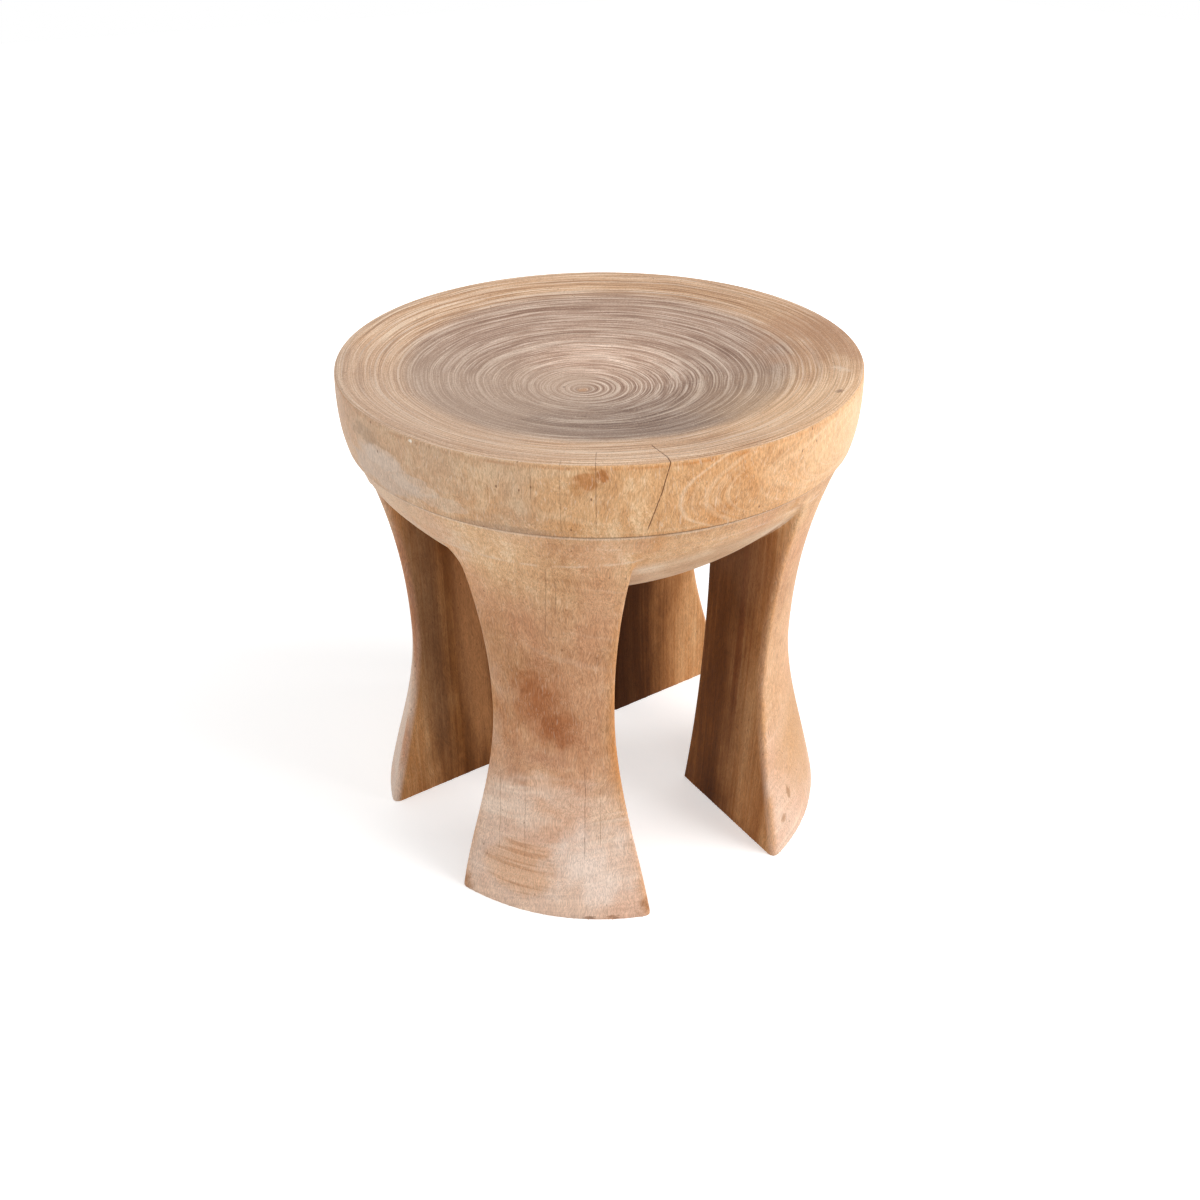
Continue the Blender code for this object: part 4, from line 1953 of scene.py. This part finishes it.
@dataclass(frozen=True)
class DowelWood:
    """The pale straight-grained wood of the dowels."""

    name: str = "dowel wood"
    dark: Colour = tone(190, 158, 112)
    pale: Colour = tone(226, 200, 156)

    def build(self) -> bpy.types.Material:
        """Make the material.

        Returns:
            The material.
        """
        material = bpy.data.materials.new(self.name)
        material.use_nodes = True
        w = Wiring(material.node_tree)
        shader = material.node_tree.nodes["Principled BSDF"]
        place = w.node("ShaderNodeTexCoord").outputs["Object"]
        fibre = FIBRE.place(w, position=place, width=0.0006, length=0.012)
        colour = w.ramp(w.ease(fibre["Stroke"], 0.3, 0.7), {0.0: self.dark, 1.0: self.pale})
        w.feed(shader.inputs["Normal"], w.bump(fibre["Stroke"], 0.3, 0.0003))
        w.feed(shader.inputs["Base Color"], colour)
        w.feed(shader.inputs["Roughness"], w.ease(fibre["Patch"], 0.3, 0.7, 0.5, 0.68))
        return material


SEAT_WOOD = SeatWood(
    name="seat wood",
    shades=SEAT_SIDE,
    roughness=0.48,
    fibre_contrast=(0.76, 1.12),
    pore_strength=0.75,
    grey=tone(190, 163, 142),
    grey_from=0.45,
    marks=(
        # Painted shade: a grey-brown band on the seat's lower edge just above the seam, at the front-left.
        Mark(around(-141.0, 0.2, 0.357), (0.062, 0.062, 0.0066), tone(172, 140, 114), 0.55, 0.5, 0.6),
        Mark(around(-62.0, 0.2, 0.384), (0.14, 0.14, 0.07), tone(250, 208, 164), 0.5, 0.3, 0.9),
        Mark(around(-172.0, 0.2, 0.374), (0.05, 0.05, 0.02), tone(206, 184, 166), 0.65, 0.6, 0.4),
        Mark(around(-171.0, 0.2, 0.385), (0.026, 0.026, 0.009), tone(226, 208, 192), 0.32, 0.5, 0.2),
        Mark(around(-162.0, 0.2, 0.375), (0.024, 0.024, 0.008), tone(226, 208, 190), 0.32, 0.5, 0.2),
        Mark(around(-155.0, 0.2, 0.368), (0.022, 0.022, 0.0065), tone(222, 202, 182), 0.3, 0.5, 0.2),
        Mark(around(-177.0, 0.2, 0.396), (0.028, 0.028, 0.008), tone(150, 122, 98), 0.4, 0.8, 0.6),
        Mark(around(-125.9, 0.2, 0.399), (0.0115, 0.0115, 0.0085), tone(184, 118, 62), 0.75, 0.5, 0.6),
        Mark(around(-122.9, 0.2, 0.403), (0.006, 0.006, 0.006), tone(174, 106, 52), 0.8, 0.4, 0.6),
        Mark(around(-128.0, 0.2, 0.393), (0.008, 0.008, 0.006), tone(196, 138, 84), 0.5, 0.8, 0.8),
        Mark((-0.0275, -0.0195, 0.391), (0.006, 0.0045, 0.02), tone(184, 138, 100), 0.75, 0.6, 0.7),
        Mark((-0.0366, -0.0069, 0.391), (0.0014, 0.0012, 0.01), tone(84, 62, 50), 0.9, 0.3, 0.5),
        Mark(around(-22.0, 0.185, 0.409), (0.09, 0.09, 0.02), tone(180, 136, 104), 0.74, 0.8, 0.8),
        Mark((0.098, -0.1612, 0.409), (0.005, 0.004, 0.01), tone(122, 88, 68), 0.7, 0.9, 0.7),
        Mark((0.1305, -0.129, 0.409), (0.005, 0.013, 0.01), tone(236, 212, 188), 0.5, 1.0, 0.8),
        Mark(around(-161.5, 0.2, 0.4079), (0.0022, 0.0022, 0.0014), tone(244, 232, 214), 0.9, 0.4, 0.5),
    ),
    splits=(
        Split(-136.0, 0.3808, 0.408, 0.00036, 0.0, 0.19, 0.4),
        Split(-130.6, 0.3581, 0.41, 0.00036, 0.0, 0.192, 0.42),
        Split(-124.1, 0.359, 0.412, 0.0004, 0.0, 0.172, 0.55),
        Split(-110.4, 0.36, 0.412, 0.00055, 0.286, 0.161, 0.9),
    ),
    bulges=(
        Bulge(-60.0, 0.382, 0.165, 0.048, 0.01, 0.42),
        Bulge(-165.0, 0.3985, 0.024, 0.012, 0.004, 0.5, 0.2),
        Bulge(-154.0, 0.3905, 0.018, 0.012, 0.004, 0.45, 0.2),
        Bulge(-148.5, 0.383, 0.016, 0.013, 0.004, 0.38, 0.2),
        Bulge(20.0, 0.372, 0.08, 0.026, 0.01, 0.5),
        Bulge(110.0, 0.392, 0.07, 0.024, 0.01, 0.5),
    ),
)
CROWN_WOOD = TurnedWood(
    name="crown wood",
    shades=CROWN_SIDE,
    inside=BOWL,
    inside_edge=BOWL,
    roughness=0.52,
    specular=0.1,
    grey=tone(212, 187, 166),
    grey_heading=170.0,
    grey_from=0.62,
    grey_to=1.05,
)
LEG_WOOD = TurnedWood(
    name="leg wood",
    shades=LEG_SIDE,
    roughness=0.52,
    low_line_share=0.3,
    specular=0.07,
    fibre_width=0.0008,
    fibre_length=0.0068,
    hair_strength=0.18,
    fibre_contrast=(0.74, 1.13),
    grey=tone(228, 211, 197),
    grey_heading=168.0,
    grey_from=0.72,
    grey_to=1.08,
    grey_share=0.62,
    marks=(
        Mark((0.057, -0.122, 0.17), (0.004, 0.006, 0.17), tone(112, 52, 22), 0.42, 0.7, 0.7, True),
        Mark(around(-150.0, 0.168, 0.235), (0.03, 0.03, 0.06), tone(186, 138, 96), 0.5, 0.6, 0.9),
        Mark(around(-45.0, 0.18, 0.18), (0.1, 0.1, 0.2), tone(234, 190, 148), 0.5, 0.4, 0.9),
        Mark(around(-140.5, 0.166, 0.183), (0.044, 0.044, 0.054), tone(182, 118, 76), 0.6, 0.6, 0.95),
        Mark(around(-141.5, 0.166, 0.206), (0.02, 0.02, 0.021), tone(160, 90, 44), 0.6, 0.8, 0.95),
        Mark(around(-139.0, 0.166, 0.184), (0.03, 0.03, 0.03), tone(160, 92, 48), 0.58, 0.6, 0.95),
        Mark(around(-135.3, 0.166, 0.164), (0.024, 0.024, 0.021), tone(154, 84, 40), 0.6, 0.8, 0.95),
        Mark(around(-138.0, 0.17, 0.138), (0.034, 0.034, 0.013), tone(182, 126, 98), 0.45, 0.6, 0.9),
        # Painted shade: a very dark patch on the back-right leg's wall, deep inside the right arch.
        Mark((0.06, 0.058, 0.08), (0.058, 0.02, 0.24), tone(52, 22, 4), 0.8, 0.25, 0.65, True),
        # Painted shade: a darker patch on the back-left leg's wall, where the front-left leg shades it.
        Mark((-0.14, 0.0595, 0.17), (0.022, 0.012, 0.28), tone(112, 82, 60), 0.5, 0.5, 0.7, True),
        Mark((0.057, -0.11, 0.14), (0.012, 0.1, 0.26), tone(92, 48, 16), 0.12, 0.3, 0.5, True),
        Mark(around(-45.0, 0.19, 0.07), (0.1, 0.1, 0.09), tone(200, 152, 106), 0.88, 0.4, 0.8),
        Mark(around(-143.0, 0.196, 0.038), (0.034, 0.034, 0.022), tone(206, 152, 108), 0.15, 0.5, 0.6),
        Mark(around(-127.0, 0.19, 0.043), (0.046, 0.046, 0.05), tone(246, 228, 214), 0.66, 0.9, 0.9),
        Mark(around(-146.0, 0.184, 0.09), (0.05, 0.05, 0.026), tone(246, 224, 204), 0.55, 0.9, 0.9),
        Mark(around(-137.0, 0.18, 0.108), (0.06, 0.06, 0.02), tone(244, 220, 200), 0.4, 0.9, 0.9),
        Mark(around(-119.5, 0.166, 0.15), (0.009, 0.009, 0.075), tone(206, 136, 78), 0.5, 0.5, 0.8),
        Mark(around(-111.8, 0.199, 0.008), (0.013, 0.013, 0.015), tone(160, 106, 64), 0.8, 0.8, 0.8),
        Mark(around(-158.5, 0.199, 0.0062), (0.011, 0.011, 0.014), tone(164, 112, 70), 0.7, 0.8, 0.8),
        Mark(around(-126.1, 0.2, 0.0011), (0.007, 0.007, 0.003), tone(128, 84, 54), 0.7, 0.8, 0.6),
        Mark(around(-120.7, 0.2, 0.0019), (0.008, 0.008, 0.003), tone(140, 92, 58), 0.6, 0.8, 0.6),
        Mark(around(-63.6, 0.1899, 0.044), (0.0046, 0.0046, 0.012), tone(158, 114, 76), 0.75, 0.6, 0.7),
        Mark(around(-68.4, 0.194, 0.0262), (0.006, 0.006, 0.005), tone(164, 118, 80), 0.7, 0.7, 0.8),
        Mark((-0.154, 0.0595, 0.21), (0.012, 0.0075, 0.11), tone(186, 122, 84), 0.75, 0.3, 0.6),
        Mark((-0.176, 0.056, 0.09), (0.012, 0.007, 0.09), tone(196, 134, 94), 0.65, 0.3, 0.6),
        # Painted light: a paler patch on the back-left leg's wall, nearer the middle of the left arch.
        Mark((-0.097, 0.0595, 0.12), (0.024, 0.012, 0.28), tone(210, 150, 100), 0.7, 0.35, 0.8, True),
        Mark((0.057, -0.118, 0.27), (0.01, 0.05, 0.07), tone(160, 116, 82), 0.4, 0.5, 0.8, True),
    ),
    splits=(
        Split(-134.8, 0.2544, 0.3325, 0.00036, 0.083, 0.15, 0.4),
        Split(-133.2, 0.275, 0.3139, 0.00036, 0.069, 0.15, 0.4),
        Split(-151.5, 0.0473, 0.1179, 0.00036, -0.085, 0.15, 0.42),
        Split(-144.0, 0.0453, 0.1159, 0.00036, -0.062, 0.15, 0.42),
        Split(-127.6, 0.0532, 0.1328, 0.00042, 0.0, 0.15, 0.55),
        Split(-123.7, 0.0623, 0.1151, 0.00036, 0.0, 0.15, 0.42),
    ),
)


# The studio
@dataclass(frozen=True)
class Lamp:
    """A square soft lamp, by its place, the length of its side and its strength in watts."""

    name: str
    place: Triple
    size: float
    power: float


@dataclass(frozen=True)
class Studio:
    """The camera at the photograph's place, a pale floor, and soft light that is strongest at the right."""

    camera_place: Triple = (-0.4582, -0.6946, 0.7219)
    camera_target: Triple = (-0.00015, 0.0001, 0.18124)
    camera_roll: float = math.radians(-0.2553)
    lens: float = 33.9
    sensor_width: float = 36.0
    nearest: float = 0.01
    floor_size: float = 12.0
    papers: tuple[Colour, Colour] = ((0.84, 0.84, 0.84, 1), (0.88, 0.88, 0.88, 1))
    paper_fleck: float = 900.0
    lamps: tuple[Lamp, ...] = (
        Lamp("key lamp", (2.25, -2.6, 2.9), 2.4, 138),
        Lamp("left lamp", (-2.2, 0.4, 1.3), 1.6, 8),
    )
    lamp_target: Triple = (0.0, 0.0, 0.25)
    lit_from: float = 0.3
    lit_to: float = 1.4
    floor_lift: tuple[float, float] = (0.42, 0.9)
    touch: float = 0.001
    world_light: float = 0.6

    @staticmethod
    def aimed(place: Triple, target: Triple) -> Matrix:
        """Where a camera or lamp stands when it faces a target."""
        aim = (Vector(target) - Vector(place)).to_track_quat("-Z", "Y").to_matrix().to_4x4()
        return Matrix.Translation(Vector(place)) @ aim

    def camera(self) -> None:
        """Place the camera where the photograph was taken from."""
        data = bpy.data.cameras.new("camera")
        data.lens = self.lens
        data.sensor_width = self.sensor_width
        data.clip_start = self.nearest
        camera = bpy.data.objects.new("camera", data)
        bpy.context.collection.objects.link(camera)
        roll = Matrix.Rotation(self.camera_roll, 4, "Z")
        camera.matrix_world = self.aimed(self.camera_place, self.camera_target) @ roll
        bpy.context.scene.camera = camera

    @staticmethod
    def shown(w: Wiring) -> Socket:
        """A mask of the rays that show the background: from the camera, mirrored or through glass.

        Args:
            w: The material's wiring.

        Returns:
            The mask.
        """
        path = w.node("ShaderNodeLightPath").outputs
        rays = w.total(path["Is Camera Ray"], path["Is Glossy Ray"], path["Is Transmission Ray"])
        return w.math("MINIMUM", rays, 1.0)

    def floor(self) -> None:
        """A wide pale floor."""
        Bench.clear_selection()
        bpy.ops.mesh.primitive_plane_add(size=self.floor_size, location=(0, 0, 0))
        floor = bpy.context.object
        floor.name = "floor"
        floor.data.materials.append(self.floor_paper())

    def floor_paper(self) -> bpy.types.Material:
        """White paper that keeps the shadow, and is clear from below and right under the feet.

        Returns:
            The material.
        """
        material = bpy.data.materials.new("floor paper")
        material.use_nodes = True
        w = Wiring(material.node_tree)
        paper = material.node_tree.nodes["Principled BSDF"]
        paper.inputs["Roughness"].default_value = 0.9
        place = w.node("ShaderNodeTexCoord").outputs["Object"]
        fleck = w.noise(place, self.paper_fleck, 2.0)
        w.feed(paper.inputs["Base Color"], w.ramp(fleck, dict(enumerate(self.papers))))
        far = w.ease(w.length(place), self.lit_from, self.lit_to, *self.floor_lift)
        seen = self.shown(w)
        paper.inputs["Emission Color"].default_value = (1, 1, 1, 1)
        w.feed(paper.inputs["Emission Strength"], w.times(far, seen))
        clear = w.node("ShaderNodeBsdfTransparent")
        below = w.node("ShaderNodeNewGeometry").outputs["Backfacing"]
        touching = w.math("LESS_THAN", w.node("ShaderNodeLightPath").outputs["Ray Length"], self.touch)
        choice = w.node("ShaderNodeMixShader")
        w.feed(choice.inputs[0], w.math("MAXIMUM", below, touching))
        w.feed(choice.inputs[1], paper.outputs[0])
        w.feed(choice.inputs[2], clear.outputs[0])
        w.feed(material.node_tree.nodes["Material Output"].inputs["Surface"], choice.outputs[0])
        return material

    def light(self, lamp: Lamp) -> None:
        """Hang one lamp, facing the stool.

        Args:
            lamp: The lamp.
        """
        data = bpy.data.lights.new(lamp.name, "AREA")
        data.shape = "SQUARE"
        data.size = lamp.size
        data.energy = lamp.power
        light = bpy.data.objects.new(lamp.name, data)
        bpy.context.collection.objects.link(light)
        light.matrix_world = self.aimed(lamp.place, self.lamp_target)

    def build(self) -> None:
        """Set up the camera, the floor, the lamps and the world."""
        self.camera()
        self.floor()
        for lamp in self.lamps:
            self.light(lamp)
        world = bpy.data.worlds.new("studio")
        world.use_nodes = True
        w = Wiring(world.node_tree)
        background = world.node_tree.nodes["Background"]
        background.inputs["Color"].default_value = (1, 1, 1, 1)
        w.feed(background.inputs["Strength"], w.ease(self.shown(w), 0.0, 1.0, self.world_light, 1.0))
        bpy.context.scene.world = world
        bpy.context.scene.view_settings.view_transform = "Standard"


# The stool
LEG_SIDES = {
    "leg_front_left": (-1, -1),
    "leg_front_right": (1, -1),
    "leg_back_right": (1, 1),
    "leg_back_left": (-1, 1),
}

ARCHES = (
    Arch(Side.RIGHT, ArchWall(0.058, 0.052, 0.022, 0.334), ArchWall(0.0755, 0.064, 0.018, 0.34)),
    Arch(Side.BACK, ArchWall(0.0765, 0.067, 0.02, 0.332), ArchWall(0.057, 0.0505, 0.022, 0.332)),
    Arch(Side.LEFT, ArchWall(0.07, 0.0675, 0.03, 0.334), ArchWall(0.0595, 0.0515, 0.024, 0.332)),
    Arch(Side.FRONT, ArchWall(0.057, 0.0505, 0.016, 0.344), ArchWall(0.0805, 0.0715, 0.009, 0.341)),
)


def main() -> None:
    """Build and dress the stool."""
    logging.basicConfig(level=logging.INFO, format="%(name)s: %(message)s")
    form = Form()
    seat = Seat(form).build()
    log.info("The seat has %d faces.", len(seat.data.polygons))
    base = Base(form, ARCHES)
    crown, legs = base.build()
    for piece in [crown, *legs]:
        base.paint(piece)
    log.info("The crown has %d faces.", len(crown.data.polygons))
    for leg in legs:
        middle = Bench.coordinates(leg).mean(axis=0)
        log.info("A leg has %d faces and its middle at %s.", len(leg.data.polygons), middle.round(3))
        for name, (x, y) in LEG_SIDES.items():
            if middle[0] * x > 0 and middle[1] * y > 0:
                leg.name = leg.data.name = f"{name}_wood"
                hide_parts(name)
    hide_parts("seat")
    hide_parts("crown")
    leg_wood = LEG_WOOD.build()
    woods = {seat: SEAT_WOOD.build(), crown: CROWN_WOOD.build(), **{leg: leg_wood for leg in legs}}
    for piece, wood in woods.items():
        piece.data.materials.clear()
        piece.data.materials.append(wood)
        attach(piece, BODY)
    dowel_wood = DowelWood().build()
    for name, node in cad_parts.items():
        if "dowel" in name:
            node.data.materials.clear()
            node.data.materials.append(dowel_wood)
    Studio().build()
    log.info("The camera, the floor and the lamps are set up.")


if __name__ == "__main__":
    main()
